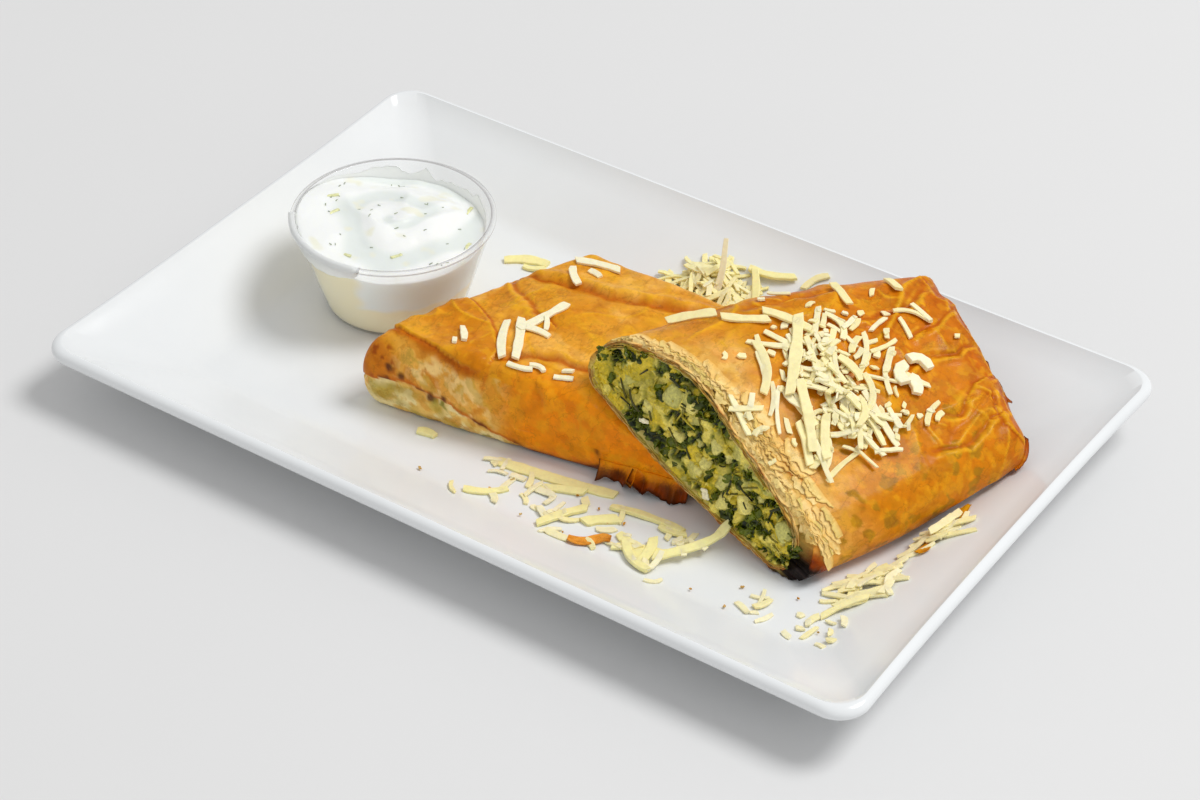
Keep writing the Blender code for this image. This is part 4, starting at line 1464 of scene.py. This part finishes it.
def add_flake(parts, centre, reach, turn, seed, tint):
    """A loose curled flake of crust on the plate."""
    x, y = spread(np.linspace(-1, 1, 17), np.linspace(-1, 1, 9))
    flat = np.stack((x, y, 0 * x), -1)
    px = reach[0] * x
    py = reach[1] * (0.55 + 0.45 * np.cos(1.4 * x)) * (1 + 0.35 * layers(flat + seed, 0.7, 3, seed)) * y
    py = py + 0.25 * reach[0] * np.sin(2.2 * x)
    lift = 0.5 + 0.12 * reach[0] * x**2 + 0.5 * (layers(flat + 7, 0.6, 2, seed) + 0.5)
    at_x = centre[0] + px * math.cos(turn) - py * math.sin(turn)
    at_y = centre[1] + px * math.sin(turn) + py * math.cos(turn)
    grid = np.stack((at_x, at_y, plate_surface(at_x, at_y) + np.maximum(lift, 0.3)), -1)
    shade = paint(tint, (ORANGE, 0.6 * smooth(0.1, 0.6, layers(flat + 3, 0.5, 2, seed))))
    add_sheet(parts, grid, FLAKE_THICKNESS, shade)


def make_flakes():
    """Three large flakes, and crumbs beside the front half."""
    parts = Parts()
    add_flake(parts, (41, -64.5), (7, 2.6), math.radians(24), 2, colour(240, 160, 60))
    add_flake(parts, (136, -5), (7, 2.0), math.radians(72), 5, GOLD)
    add_flake(parts, (138, 14), (4, 1.8), math.radians(80), 8, HONEY)
    rng = np.random.default_rng(21)
    for k in range(16):
        centre = rng.uniform(-30, 130), rng.uniform(-72, -44)
        reach = rng.uniform(0.3, 0.7)
        turn = rng.uniform(0, 3)
        add_flake(parts, centre, (reach, 0.7 * reach), turn, 30 + k, mix(GOLD, DOUGH, rng.uniform()))
    parts.piece("loose_flakes", filo_look(), "baked_filo")


# ---------------------------------------------------------------- grated cheese

CELL = 0.7
ANY_HEIGHT = 1000
ON_PLATE = 17  # the heights that shreds stay below, by place
BEHIND_PEAK = 27
HEAP_PEAK = 60.0
PEAK = 62.5
SHRED_STEP = 1.6  # between the points along a shred
SHRED_SETTLE = 0.45
OBSTACLES = ("rear_crust_baked", "front_crust_baked", "cup_clear")
CHEESE = colour(255, 240, 178)
CHEESE_PALE = colour(255, 246, 208)
CHEESE_WAXY = colour(255, 243, 172)

BAND_SHREDS = 115
STRAY_SHREDS = 100
CRUMBS = 70
BAND_SPREAD = 9.5
STRAY_SPREAD = 17
CRUMB_SPREAD = 13
BEHIND_SHREDS = 150
BEHIND_MIDDLE = (2, 70)
BEHIND_REACH = (20, 14)
BESIDE_SHREDS = 75
SINGLE_SHREDS = 58
FRONT_BAND = ((43, 78), (45, 66), (44, 54), (42, 42), (38, 28), (36, 14))
# Each listed shred has a start, an end, a width and a bend
FRONT_SHREDS = (
    ((69, 17), (84, -12), 3.9, 0.02),
    ((58, 12), (76, 14), 3.4, 0.05),
    ((48, 2), (62, 10), 3.4, -0.04),
    ((64, -2), (77, -17), 3.2, 0.12),
    ((84, -6), (99, -21), 3.4, 0.03),
    ((96, -8), (104, -20), 3.2, -0.05),
    ((90, -16), (100, -24), 2.8, 0.04),
    ((88, 12), (98, 10), 2.6, 0.10),
    ((100, 6), (107, -6), 2.4, 0.15),
    ((78, 61), (85, 57), 3.0, 0.05),
    ((31, -5), (45, 4), 3.6, 0.03),
)
FRONT_CHUNKS = (
    ((103, 33), (110, 36), 4.2, 0.35),
    ((104, 30), (108, 23), 4.2, -0.3),
    ((107, 27), (112, 24), 4.2, 0.2),
)
REAR_SHREDS = (
    ((-39, -26), (-33, -33), 2.6, 0.03),
    ((-37, -33), (-35, -36), 2.0, 0.0),
    ((-27, -16), (-17, -33), 2.9, -0.05),
    ((-24, -12), (-13, -31), 3.2, 0.02),
    ((-16, 4), (-21, -18), 3.2, 0.03),
    ((-19, -16), (-10, -15), 2.4, 0.10),
    ((-17, -7), (-13, -13), 2.0, 0.05),
    ((-14, -34), (-5, -32), 2.4, -0.08),
    ((-7, -31), (-1, -31), 2.2, 0.2),
    ((3, -31), (9, -28), 2.4, 0.0),
    ((4, -27), (7, -25), 1.8, 0.0),
    ((-31, 31), (-14, 34), 3.4, 0.04),
    ((-28, 25), (-20, 17), 2.8, -0.08),
    ((-23, 28), (-17, 26), 2.4, 0.05),
)
PLATE_SHREDS = (
    ((-9, -48), (35, -40), 4.2, -0.015),
    ((-9, -67), (3, -58), 2.4, -0.10),
    ((22, -68), (31, -51), 3.4, 0.04),
    ((12, -51), (26, -45), 3.2, 0.02),
    ((34, -58), (43, -50), 4.0, 0.05),
    ((37, -46), (64, -43), 3.2, 0.05),
    ((56, -45), (66, -44), 3.0, -0.1),
    ((64, -61), (79, -38), 3.2, -0.07),
    ((-41, -50.5), (-34, -49.5), 3.2, 0.1),
    ((47, -56), (62, -64), 3.6, 0.04),
    ((49, -63), (64, -56), 3.0, 0.05),
    ((58, -52), (61, -66), 3.4, 0.10),
    ((51, -58), (66, -67), 3.0, -0.12),
    ((-76, 49), (-61, 56), 3.4, 0.10),
    ((-68, 50), (-60, 53), 3.0, -0.10),
)


class Ground:
    """Height of whatever lies uppermost over the plate, so that things laid on it come to rest."""

    def __init__(self):
        size = np.array((PLATE_LENGTH, PLATE_WIDTH))
        self.low = -size / 2
        x, y = spread(*(CELL * np.arange(math.ceil(side / CELL) + 1) - side / 2 for side in size))
        self.heights = plate_surface(x, y)
        for mesh in [bpy.data.objects[name].data for name in OBSTACLES]:
            points = np.array([vertex.co for vertex in mesh.vertices]) / MM
            tree = BVHTree.FromPolygons(points.tolist(), [face.vertices for face in mesh.polygons])
            low, high = points.min(0), points.max(0)
            inside = (x > low[0]) & (x < high[0]) & (y > low[1]) & (y < high[1])
            for i, j in zip(*np.nonzero(inside)):
                hit = tree.ray_cast(Vector((x[i, j], y[i, j], SKY)), DOWN)[0]
                if hit is not None:
                    self.heights[i, j] = max(self.heights[i, j], hit.z)

    def cells(self, plan):
        """The grid places of points of the plan."""
        place = np.round((plan - self.low) / CELL).astype(int)
        return tuple(np.clip(place, 0, np.array(self.heights.shape) - 1).T)

    def height(self, plan):
        return self.heights[self.cells(plan)]

    def cover(self, plan, top):
        np.maximum.at(self.heights, self.cells(plan), top)


def lay_shred(
    ground, parts, start, end, width, thickness, bend, tint, rng, settle=SHRED_SETTLE, ceiling=ANY_HEIGHT
):
    """A shred between two points of the plan, resting on what is under it, unless that is above the ceiling.

    bend is how far its middle lies to its left, as a share of its length, and settle is how far it sags
    on to what is under it.
    """
    start = np.array(start, float)
    end = np.array(end, float)
    length = np.linalg.norm(end - start)
    t = np.linspace(0, 1, max(5, int(length / SHRED_STEP)))
    way = (end - start) / length
    left = np.array((-way[1], way[0]))
    plan = start + (end - start) * t[:, None] + left * (bend * length * 4 * t * (1 - t))[:, None]
    under = np.stack([ground.height(plan + left * k * width / 2) for k in (-1, 0, 1)]).max(0)
    slope, level = np.polyfit(t, under, 1)
    straight = level + slope * t
    straight = straight + np.max(under - straight)
    smoothed = np.convolve(np.pad(under, 2, mode="edge"), (0.1, 0.2, 0.4, 0.2, 0.1), mode="valid")
    base = np.maximum(mix(straight, smoothed, settle), under - 0.3 * thickness)
    if base.max() + thickness > ceiling:
        return
    wobble = 0.15 * noise(on_line(3 * t, 0, rng.uniform(0, 50)), 0.7, 2)
    line = np.column_stack((plan, base + thickness / 2 + wobble))
    side = np.array((*left, rng.uniform(-0.25, 0.25)))
    widths = width * (1 + 0.2 * noise(line, 4, 8)) * np.clip(0.82 + 3 * np.minimum(t, 1 - t), 0, 1)
    add_strip(parts, line, widths, thickness, side, tint, rng.uniform(-0.6, 0.6))
    for k in np.linspace(-0.45, 0.45, 5):
        ground.cover(plan + left * k * width, base + thickness * 0.45)


def lay_loose(ground, parts, rng, x, y, turn, length, waxy, ceiling):
    """One shred of ordinary thickness round a middle."""
    half = 0.5 * length * np.array((math.cos(turn), math.sin(turn)))
    middle = np.array((x, y))
    width = rng.uniform(1.4, 2.7)
    shade = mix(mix(CHEESE, CHEESE_PALE, rng.uniform()), CHEESE_WAXY, waxy * rng.uniform(0.3, 1.0))
    bend = rng.normal(0, 0.09)
    thickness = rng.uniform(0.6, 1.0)
    start, end = middle - half, middle + half
    lay_shred(ground, parts, start, end, width, thickness, bend, shade, rng, ceiling=ceiling)


def lay_listed(ground, parts, rng, shreds, thickness, tint, settle=SHRED_SETTLE, ceiling=ANY_HEIGHT):
    """Shreds at given places; the thickness is one number, or the two ends of a range."""
    for start, end, width, bend in shreds:
        thick = thickness if np.isscalar(thickness) else rng.uniform(*thickness)
        lay_shred(ground, parts, start, end, width, thick, bend, tint, rng, settle, ceiling)


def strew_front(ground, parts, rng):
    """A dense band down the middle of the front half, strays round it, crumbs, and shreds at their places."""
    strays_end = BAND_SHREDS + STRAY_SHREDS
    for k in range(strays_end + CRUMBS):
        along_band = rng.uniform(0, 1)
        u, v = (float(along([point[i] for point in FRONT_BAND], along_band)) for i in (0, 1))
        away = STRAY_SPREAD if k < strays_end else CRUMB_SPREAD
        u = u + rng.normal(0, BAND_SPREAD if k < BAND_SHREDS else away)
        v = v + rng.normal(0, 5)
        s = np.clip(u / FRONT.length, 0.06, 0.95)
        q = np.clip((v + 14) / (FRONT.width + 6), 0.04, 0.96)
        spot = moved(FRONT.section(s, q)[0], FRONT.place)
        length = rng.uniform(1.5, 5.5) if k % 2 else min(rng.gamma(5.0, 1.8) + 3, 26 - 0.08 * k)
        if k > strays_end:
            length = rng.uniform(1.0, 2.6)
        turn = math.radians(rng.normal(-42, 65))
        lay_loose(ground, parts, rng, spot[0], spot[1], turn, length, 0.25, HEAP_PEAK)
    lay_listed(ground, parts, rng, FRONT_SHREDS, 1.1, CHEESE, 0.6, PEAK)
    lay_listed(ground, parts, rng, FRONT_CHUNKS, 2.0, CHEESE_PALE, 0.8, PEAK)


def heap_behind(ground, parts, rng):
    """The heap behind the rear half, with three long shreds over it and one that stands."""
    for _ in range(BEHIND_SHREDS):
        angle = rng.uniform(0, 2 * math.pi)
        share = rng.uniform(0, 1) ** 0.7
        x = BEHIND_MIDDLE[0] + BEHIND_REACH[0] * share * math.cos(angle)
        y = BEHIND_MIDDLE[1] + BEHIND_REACH[1] * share * math.sin(angle)
        lay_loose(ground, parts, rng, x, y, rng.uniform(0, math.pi), rng.uniform(4, 15), 1.0, BEHIND_PEAK)
    lay_shred(ground, parts, (8, 86), (26, 89), 3.2, 1.3, -0.1, CHEESE_WAXY, rng, 0.2)
    lay_shred(ground, parts, (11, 85), (21, 67), 2.8, 1.2, 0.05, CHEESE_WAXY, rng, 0.2)
    lay_shred(ground, parts, (31, 86), (37, 94), 2.6, 1.1, 0.15, CHEESE, rng)
    t = np.linspace(0, 1, 12)
    standing = np.column_stack((4 - 2 * t + 0.9 * np.sin(4 * t), 68 + 12 * t, 10 + 19 * t))
    add_strip(parts, standing, 3.2 * (1 - 0.45 * t), 1.0, np.array((0.83, 0.56, 0.1)), CHEESE_PALE)


def heap_beside(ground, parts, rng):
    """The heap between the front half and the plate's right rim."""
    for _ in range(BESIDE_SHREDS):
        y = rng.uniform(-46, 6)
        x = rng.normal(128, 4.5) + 0.12 * (y + 22)
        turn = math.radians(rng.normal(70, 40))
        lay_loose(ground, parts, rng, x, y, turn, rng.uniform(5, 17), 0.5, ON_PLATE)


def strew_singles(ground, parts, rng):
    """Single shreds on the rear half and on the plate."""
    lay_listed(ground, parts, rng, REAR_SHREDS, (0.9, 1.2), CHEESE_PALE)
    lay_listed(ground, parts, rng, PLATE_SHREDS, (1.1, 1.6), CHEESE_WAXY, SHRED_SETTLE, ON_PLATE)
    for k in range(SINGLE_SHREDS):
        x, y = rng.uniform(-12, 74), rng.uniform(-70, -44)
        if k > 40:
            x, y = rng.uniform(98, 134), rng.uniform(-68, -52)
        lay_loose(ground, parts, rng, x, y, rng.uniform(0, math.pi), rng.uniform(2, 9), 0.1, ON_PLATE)


def make_cheese(ground):
    rng = np.random.default_rng(5)
    look = cheese_look()
    for lay, name, node in (
        (strew_front, "shreds_on_front", "cheese_on_front"),
        (heap_behind, "shreds_behind", "cheese_behind"),
        (heap_beside, "shreds_beside", "cheese_beside"),
        (strew_singles, "shreds_loose", None),
    ):
        parts = Parts()
        lay(ground, parts, rng)
        piece = parts.piece(name, look, "grated_cheese", smooth_faces=False)
        if node:
            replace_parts(piece, node)


# ---------------------------------------------------------------- cup and dip

LIP_RINGS = (12, 16)  # rings of the cup that show as thin grey lines
CUP_STEPS = 128
CUP_ANGLES = 2 * math.pi * np.arange(CUP_STEPS) / CUP_STEPS
DIP_STEPS = 54
DIP_SINK = 0.25  # how far the dip reaches into the cup's wall
FILM_GAP = 0.25  # between the wall and the middle of the film wiped up it
FILM_THICKNESS = 0.3
SMEAR_THICKNESS = 0.4
YOGHURT = colour(250, 253, 249)
CREAM_SHADE = colour(255, 243, 206)
DILL = colour(160, 170, 148)
SMEAR_TURNS = 30, 235  # degrees round the cup over which its wall is wiped
OVER_LIP_TURNS = 214, 288
HERB_COUNT = 40
CUCUMBER_COUNT = 6
CUCUMBER = colour(232, 232, 176)


def cup_bore(height):
    """Inner radius of the cup at a height above its foot."""
    return mix(CUP_BASE_RADIUS, CUP_LIP_RADIUS - CUP_BEAD_REACH, height / CUP_HEIGHT) - CUP_WALL


def cup_ring(radius, height, angles=CUP_ANGLES):
    """Points round the cup's axis, at a height above its foot."""
    x = CUP_CENTRE[0] + radius * np.cos(angles)
    y = CUP_CENTRE[1] + radius * np.sin(angles)
    return np.stack((x, y, CUP_FOOT + height + 0 * x), -1)


def arc(centre, reach, first, last, count):
    """(radius, height) points of an arc between two angles in degrees."""
    angles = np.radians(np.linspace(first, last, count))
    return [(centre[0] + reach[0] * math.cos(a), centre[1] + reach[1] * math.sin(a)) for a in angles]


def make_cup():
    """The clear cup, with a bead round its lip."""
    lip_foot = CUP_HEIGHT - CUP_BEAD_DEPTH
    bead = 0.5 * CUP_BEAD_REACH, 0.5 * CUP_BEAD_DEPTH
    wall_top = CUP_LIP_RADIUS - CUP_BEAD_REACH
    foot = CUP_BASE_RADIUS - CUP_BASE_ROUND
    profile = [
        (foot, 0),
        *arc((foot, CUP_BASE_ROUND), (CUP_BASE_ROUND, CUP_BASE_ROUND), -90, 0, 6),
        (wall_top - 0.1, lip_foot - 0.6),
        (wall_top + 0.2, lip_foot),
        *arc((CUP_LIP_RADIUS - bead[0], CUP_HEIGHT - bead[1]), bead, -80, 80, 7),
        (cup_bore(CUP_HEIGHT) + 0.2, CUP_HEIGHT),
        (cup_bore(CUP_HEIGHT), CUP_HEIGHT - 0.2),
        (cup_bore(CUP_HEIGHT - 0.8), CUP_HEIGHT - 0.8),
        (cup_bore(CUP_WALL) + 0.2, CUP_WALL + 0.8),
        (cup_bore(CUP_WALL) - 0.8, CUP_WALL),
    ]
    points = np.concatenate([cup_ring(radius, height) for radius, height in profile])
    # Painted grey shade lines at the lip rings
    lip_shade = np.zeros((len(profile), CUP_STEPS, 3))
    lip_shade[list(LIP_RINGS)] = 1.0
    faces = tube_faces(numbered(len(profile), CUP_STEPS))
    cup = make_piece("cup_clear", points, faces, clear_look(), lip_shade.reshape(-1, 3))
    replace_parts(cup, "dip_cup")


def dip_fold(share, angle):
    """How the dip was spooned: a slow swirl from -1 to 1, and branching folds."""
    wandering = shifted(on_line(share * np.cos(angle), share * np.sin(angle)), 0.22, 0.6, 4)
    return np.sin(angle - 10.5 * share + 2.6 * noise(wandering, 0.8, 5)), ridges(wandering, 0.75, 6, 1.3)


def dip_level(share, angle):
    """Height of the dip above the cup's foot, at a share of its radius and an angle round it."""
    climb = DIP_CLIMB * np.clip(np.cos(angle - DIP_WIPED_SIDE), 0, 1) ** 1.5 * share**2
    mound = DIP_MOUND * (1 - share**2) ** 1.5
    swirl, folded = dip_fold(share, angle)
    uneven = 2.0 * swirl * share * (1.15 - share) + 1.5 * (folded - 0.4) * (1 - 0.7 * share**4)
    uneven = uneven + 0.35 * layers(on_line(share * np.cos(angle), share * np.sin(angle)), 0.22, 2, 7)
    return CUP_HEIGHT - DIP_DROP + climb + mound + uneven


def make_dip():
    """The spooned dip, with its side pressed to the cup's wall."""
    share = np.linspace(1, 0.02, DIP_STEPS)[:, None] * np.ones(CUP_STEPS)
    level = dip_level(share, CUP_ANGLES + 0 * share)
    top = cup_ring(share * (cup_bore(level[0]) + DIP_SINK), level)
    side = []
    for part in np.linspace(0, 1, 40)[:-1]:
        height = mix(CUP_WALL + GAP, level[0], part)
        side.append(cup_ring(cup_bore(height) + DIP_SINK * min(1, 3 * part), height))
    points = np.concatenate((*side, top.reshape(-1, 3)))
    rise = points[:, 2] - CUP_FOOT
    from_axis = points[:, :2] - CUP_CENTRE
    round_it = np.arctan2(from_axis[:, 1], from_axis[:, 0])
    on_side = np.arange(len(points)) < len(side) * CUP_STEPS
    patch = smooth(0.25, 0.45, np.cos(round_it + math.radians(10)) + 0.15 * layers(points, 14, 2, 8))
    patch = patch * smooth(12, 14, rise + 3 * noise(points, 12, 8))
    fold, _ = dip_fold(np.hypot(from_axis[:, 0], from_axis[:, 1]) / CUP_LIP_RADIUS, round_it)
    tint = paint(
        YOGHURT,
        # Painted shade and warm reflection: warm cream on the dip's side outside the white patch
        (CREAM_SHADE, on_side * (1 - patch)),
        # Painted shade in the hollows of the swirl on the dip's top
        (colour(228, 234, 230), 0.8 * smooth(0.1, -0.9, fold) * ~on_side),
        (colour(243, 253, 247), on_side * patch),
        (colour(240, 238, 214), 0.7 * smooth(0.25, 0.6, layers(points, 7, 2, 9)) * ~on_side),
    )
    faces = tube_faces(numbered(len(points) // CUP_STEPS, CUP_STEPS))
    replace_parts(make_piece("dip_spooned", points, faces, yoghurt_look(), tint), "dip")


def make_herbs():
    """Slivers of cucumber and snips of dill, pressed into the dip."""
    rng = np.random.default_rng(17)
    bits = Parts()
    for k in range(HERB_COUNT):
        share, angle = math.sqrt(rng.uniform(0, 0.9)), rng.uniform(0, 2 * math.pi)
        height = float(dip_level(np.array(share), np.array(angle)))
        lift = -0.12 if k < CUCUMBER_COUNT else 0.02
        middle = cup_ring(share * cup_bore(height), height + lift, np.array(angle))
        turn = rng.uniform(0, math.pi)
        length = rng.uniform(0.5, 1.9)
        shade, width, thick = DILL, rng.uniform(0.25, 0.5), 0.25
        if k < CUCUMBER_COUNT:
            length, shade, width, thick = rng.uniform(3.5, 7), CUCUMBER, 1.3, 0.6
        run = np.linspace(-0.5, 0.5, 6)[:, None]
        way = np.array((math.cos(turn), math.sin(turn), 0.0))
        side = np.array((-way[1], way[0], 0.0))
        line = middle + run * length * way + rng.uniform(-0.4, 0.4) * length * run**2 * side
        add_strip(bits, line, width, thick, side, shade)
    bits.piece("dip_herbs", filling_look("dip_herb", 0.4, 900, 0.0001), "yoghurt_dip")


def make_smear():
    """Dip wiped up the inside of the wall, and over the lip."""
    smear = Parts()
    angles = np.radians(np.linspace(*SMEAR_TURNS, 110))
    foot = dip_level(np.array(1.0), angles)
    wiped = np.clip(0.6 + 0.9 * layers(on_line(np.cos(angles), np.sin(angles)), 0.3, 4, 12), 0.05, 0.97)
    wiped = wiped * np.sin(np.linspace(0, math.pi, 110)) ** 0.4
    rows = [mix(foot, CUP_HEIGHT - 0.8, wiped * part) for part in np.linspace(-0.1, 1, 9)]
    film = np.array([cup_ring(cup_bore(row) - FILM_GAP, row, angles) for row in rows])
    add_sheet(smear, film, FILM_THICKNESS, YOGHURT)

    angles = np.radians(np.linspace(*OVER_LIP_TURNS, 48))
    share = np.linspace(0, 1, 48)
    body = np.sin(math.pi * share) ** 0.6 * (1 + 0.25 * layers(on_line(share), 0.2, 2, 3))
    drop = 0.8 + 4.5 * body + 0.8 * layers(on_line(share), 0.12, 3, 6)
    bore, lip = cup_bore(CUP_HEIGHT), CUP_LIP_RADIUS
    over = np.array((bore - 0.4, lip - 1.6, lip - 0.2, lip + 0.4, lip + 0.1, lip - 0.9))
    rise = np.array((-3.0, 0.4, 0.7, -0.6, -1.8, -2.2))[:, None] * np.minimum(1, 3 * body)
    rise[-1] -= drop
    part = np.linspace(0, 1, 22)
    radius = along(over, part)[:, None] - 0.3 * (part[:, None] ** 4) * drop
    height = CUP_HEIGHT + np.stack([along(column, part) for column in rise.T], 1)
    rows = [cup_ring(out, up, angles) for out, up in zip(radius, height)]
    add_sheet(smear, np.array(rows), SMEAR_THICKNESS, YOGHURT)
    smear.piece("dip_smear", yoghurt_look(), "yoghurt_dip")


# Each is a start, an end, a drop, how far it curls out, a seed and the lengths of its tips
REAR_FLAPS = (
    ((25, -38.0, 12.5), (39, -35.2, 13.0), 8.0, 5.0, 3, (0.7, 0.75, 0.8, 1.4, 1.0, 0.4, 0.3)),
    ((37, -35.6, 12.5), (57, -31.0, 12.5), 8.0, 4.0, 14, (0.1, 0.3, 0.9, 0.5, 0.55, 0.8, 1.2, 0.7, 1.0, 0.8)),
)
FRONT_FLAPS = (
    ((117, 61, 36), (130, 53, 28), 3.6, 0.6, 21, (0.5, 1.0, 0.5, 0.9, 0.4)),
    ((140, 46, 22), (147, 38, 14), 3.0, 0.5, 27, (0.4, 1.0, 0.6, 0.8, 0.3)),
)
PALE_LUMPS = (
    ((4.6, 23.2, 9.3), (3.2, 3.4, 2.4), FETA, 0.45),
    ((7.9, 64.6, 20.6), (4.4, 3.6, 2.2), CURD_GREY, 0.7),
    ((6.0, 6.6, 13.5), (3.0, 3.8, 2.2), CURD_GREY, 0.7),
)
TORN_BITS = (((0.2, 36.5, 2.8), (0, 0.5, 0.85), 4.5, 3.2), ((0.8, 69, 6), (0, -0.8, 0.6), 5.5, 1.6))


def main():
    make_plate()
    filo = filo_look()
    for half, name, dress, count, reaches, span, flaps in (
        (REAR, "rear_crust", dress_rear, 14, (3, 4, 4, 3), (0.1, 0.9), REAR_FLAPS),
        (FRONT, "front_crust", dress_front, 90, (8, 11, 9, 6, 4, 3), (0.02, 0.97), FRONT_FLAPS),
    ):
        skin = Skin(half)
        tint = dress(skin)
        points = moved(skin.points, half.place)
        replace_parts(make_piece(name + "_baked", points, skin.faces, filo, tint), name)
        make_pages(skin, name + "_pages", 91, count, reaches, span)
        make_lips(half, name + "_layer_ends", 130)
        make_flaps(name + "_torn_edges", tree_of(points, skin.faces), tint[skin.faces].mean(1), flaps)
    make_filling(FRONT, "front_filling", 33, 1.0, PALE_LUMPS, TORN_BITS)
    make_filling(REAR, "rear_filling", 35, 0.7)
    make_cup()
    make_dip()
    make_herbs()
    make_smear()
    make_cheese(Ground())
    make_flakes()


# ---------------------------------------------------------------- stage, light and camera, in metres

CAMERA_TARGET = Vector((-0.0031, 0.0059, 0.0))
CAMERA_DISTANCE = 1.0981
CAMERA_TURN = math.radians(34.24)
CAMERA_RISE = math.radians(37.96)
CAMERA_ROLL = math.radians(0.452)
CAMERA_LENS = 93.24
FLOOR_REACH = 4.0
WORLD_STRENGTH = 0.545
KEY_LIGHT = (1.33, 0.98, 2.8), 1.4, 60  # place, size and power
FILL_LIGHT = (0.65, -1.6, 0.22), 1.0, 1.5


def put(name, data):
    """A new object in the scene."""
    made = bpy.data.objects.new(name, data)
    bpy.context.scene.collection.objects.link(made)
    return made


def make_camera():
    level = Vector((math.cos(CAMERA_TURN), math.sin(CAMERA_TURN), 0))
    away = Vector((math.sin(CAMERA_TURN), -math.cos(CAMERA_TURN), 0))
    back = math.cos(CAMERA_RISE) * away + math.sin(CAMERA_RISE) * Vector((0, 0, 1))
    right = math.cos(CAMERA_ROLL) * level + math.sin(CAMERA_ROLL) * back.cross(level)
    camera = put("camera", bpy.data.cameras.new("camera"))
    camera.data.lens = CAMERA_LENS
    camera.data.clip_start = 0.01
    placing = Matrix((right, back.cross(right), back)).transposed().to_4x4()
    placing.translation = CAMERA_TARGET + back * CAMERA_DISTANCE
    camera.matrix_world = placing
    bpy.context.scene.camera = camera


def add_area(name, place, size, power):
    """A round lamp that points at the plate's middle."""
    lamp = put(name, bpy.data.lights.new(name, "AREA"))
    lamp.data.shape = "DISK"
    lamp.data.size = size
    lamp.data.energy = power
    lamp.location = place
    lamp.rotation_euler = (-Vector(place)).to_track_quat("-Z", "Y").to_euler()


def make_stage():
    corners = ((-1, -1), (1, -1), (1, 1), (-1, 1))
    mesh = bpy.data.meshes.new("floor")
    mesh.from_pydata([(x * FLOOR_REACH, y * FLOOR_REACH, -GAP * MM) for x, y in corners], [], [(0, 1, 2, 3)])
    mesh.materials.append(floor_look())
    put("floor", mesh)
    world = bpy.data.worlds.new("studio")
    world.use_nodes = True
    background = world.node_tree.nodes["Background"]
    background.inputs["Color"].default_value = (1, 1, 1, 1)
    background.inputs["Strength"].default_value = WORLD_STRENGTH
    bpy.context.scene.world = world
    add_area("key", *KEY_LIGHT)
    add_area("fill", *FILL_LIGHT)
    bpy.context.scene.view_settings.view_transform = "Standard"


main()
make_stage()
make_camera()
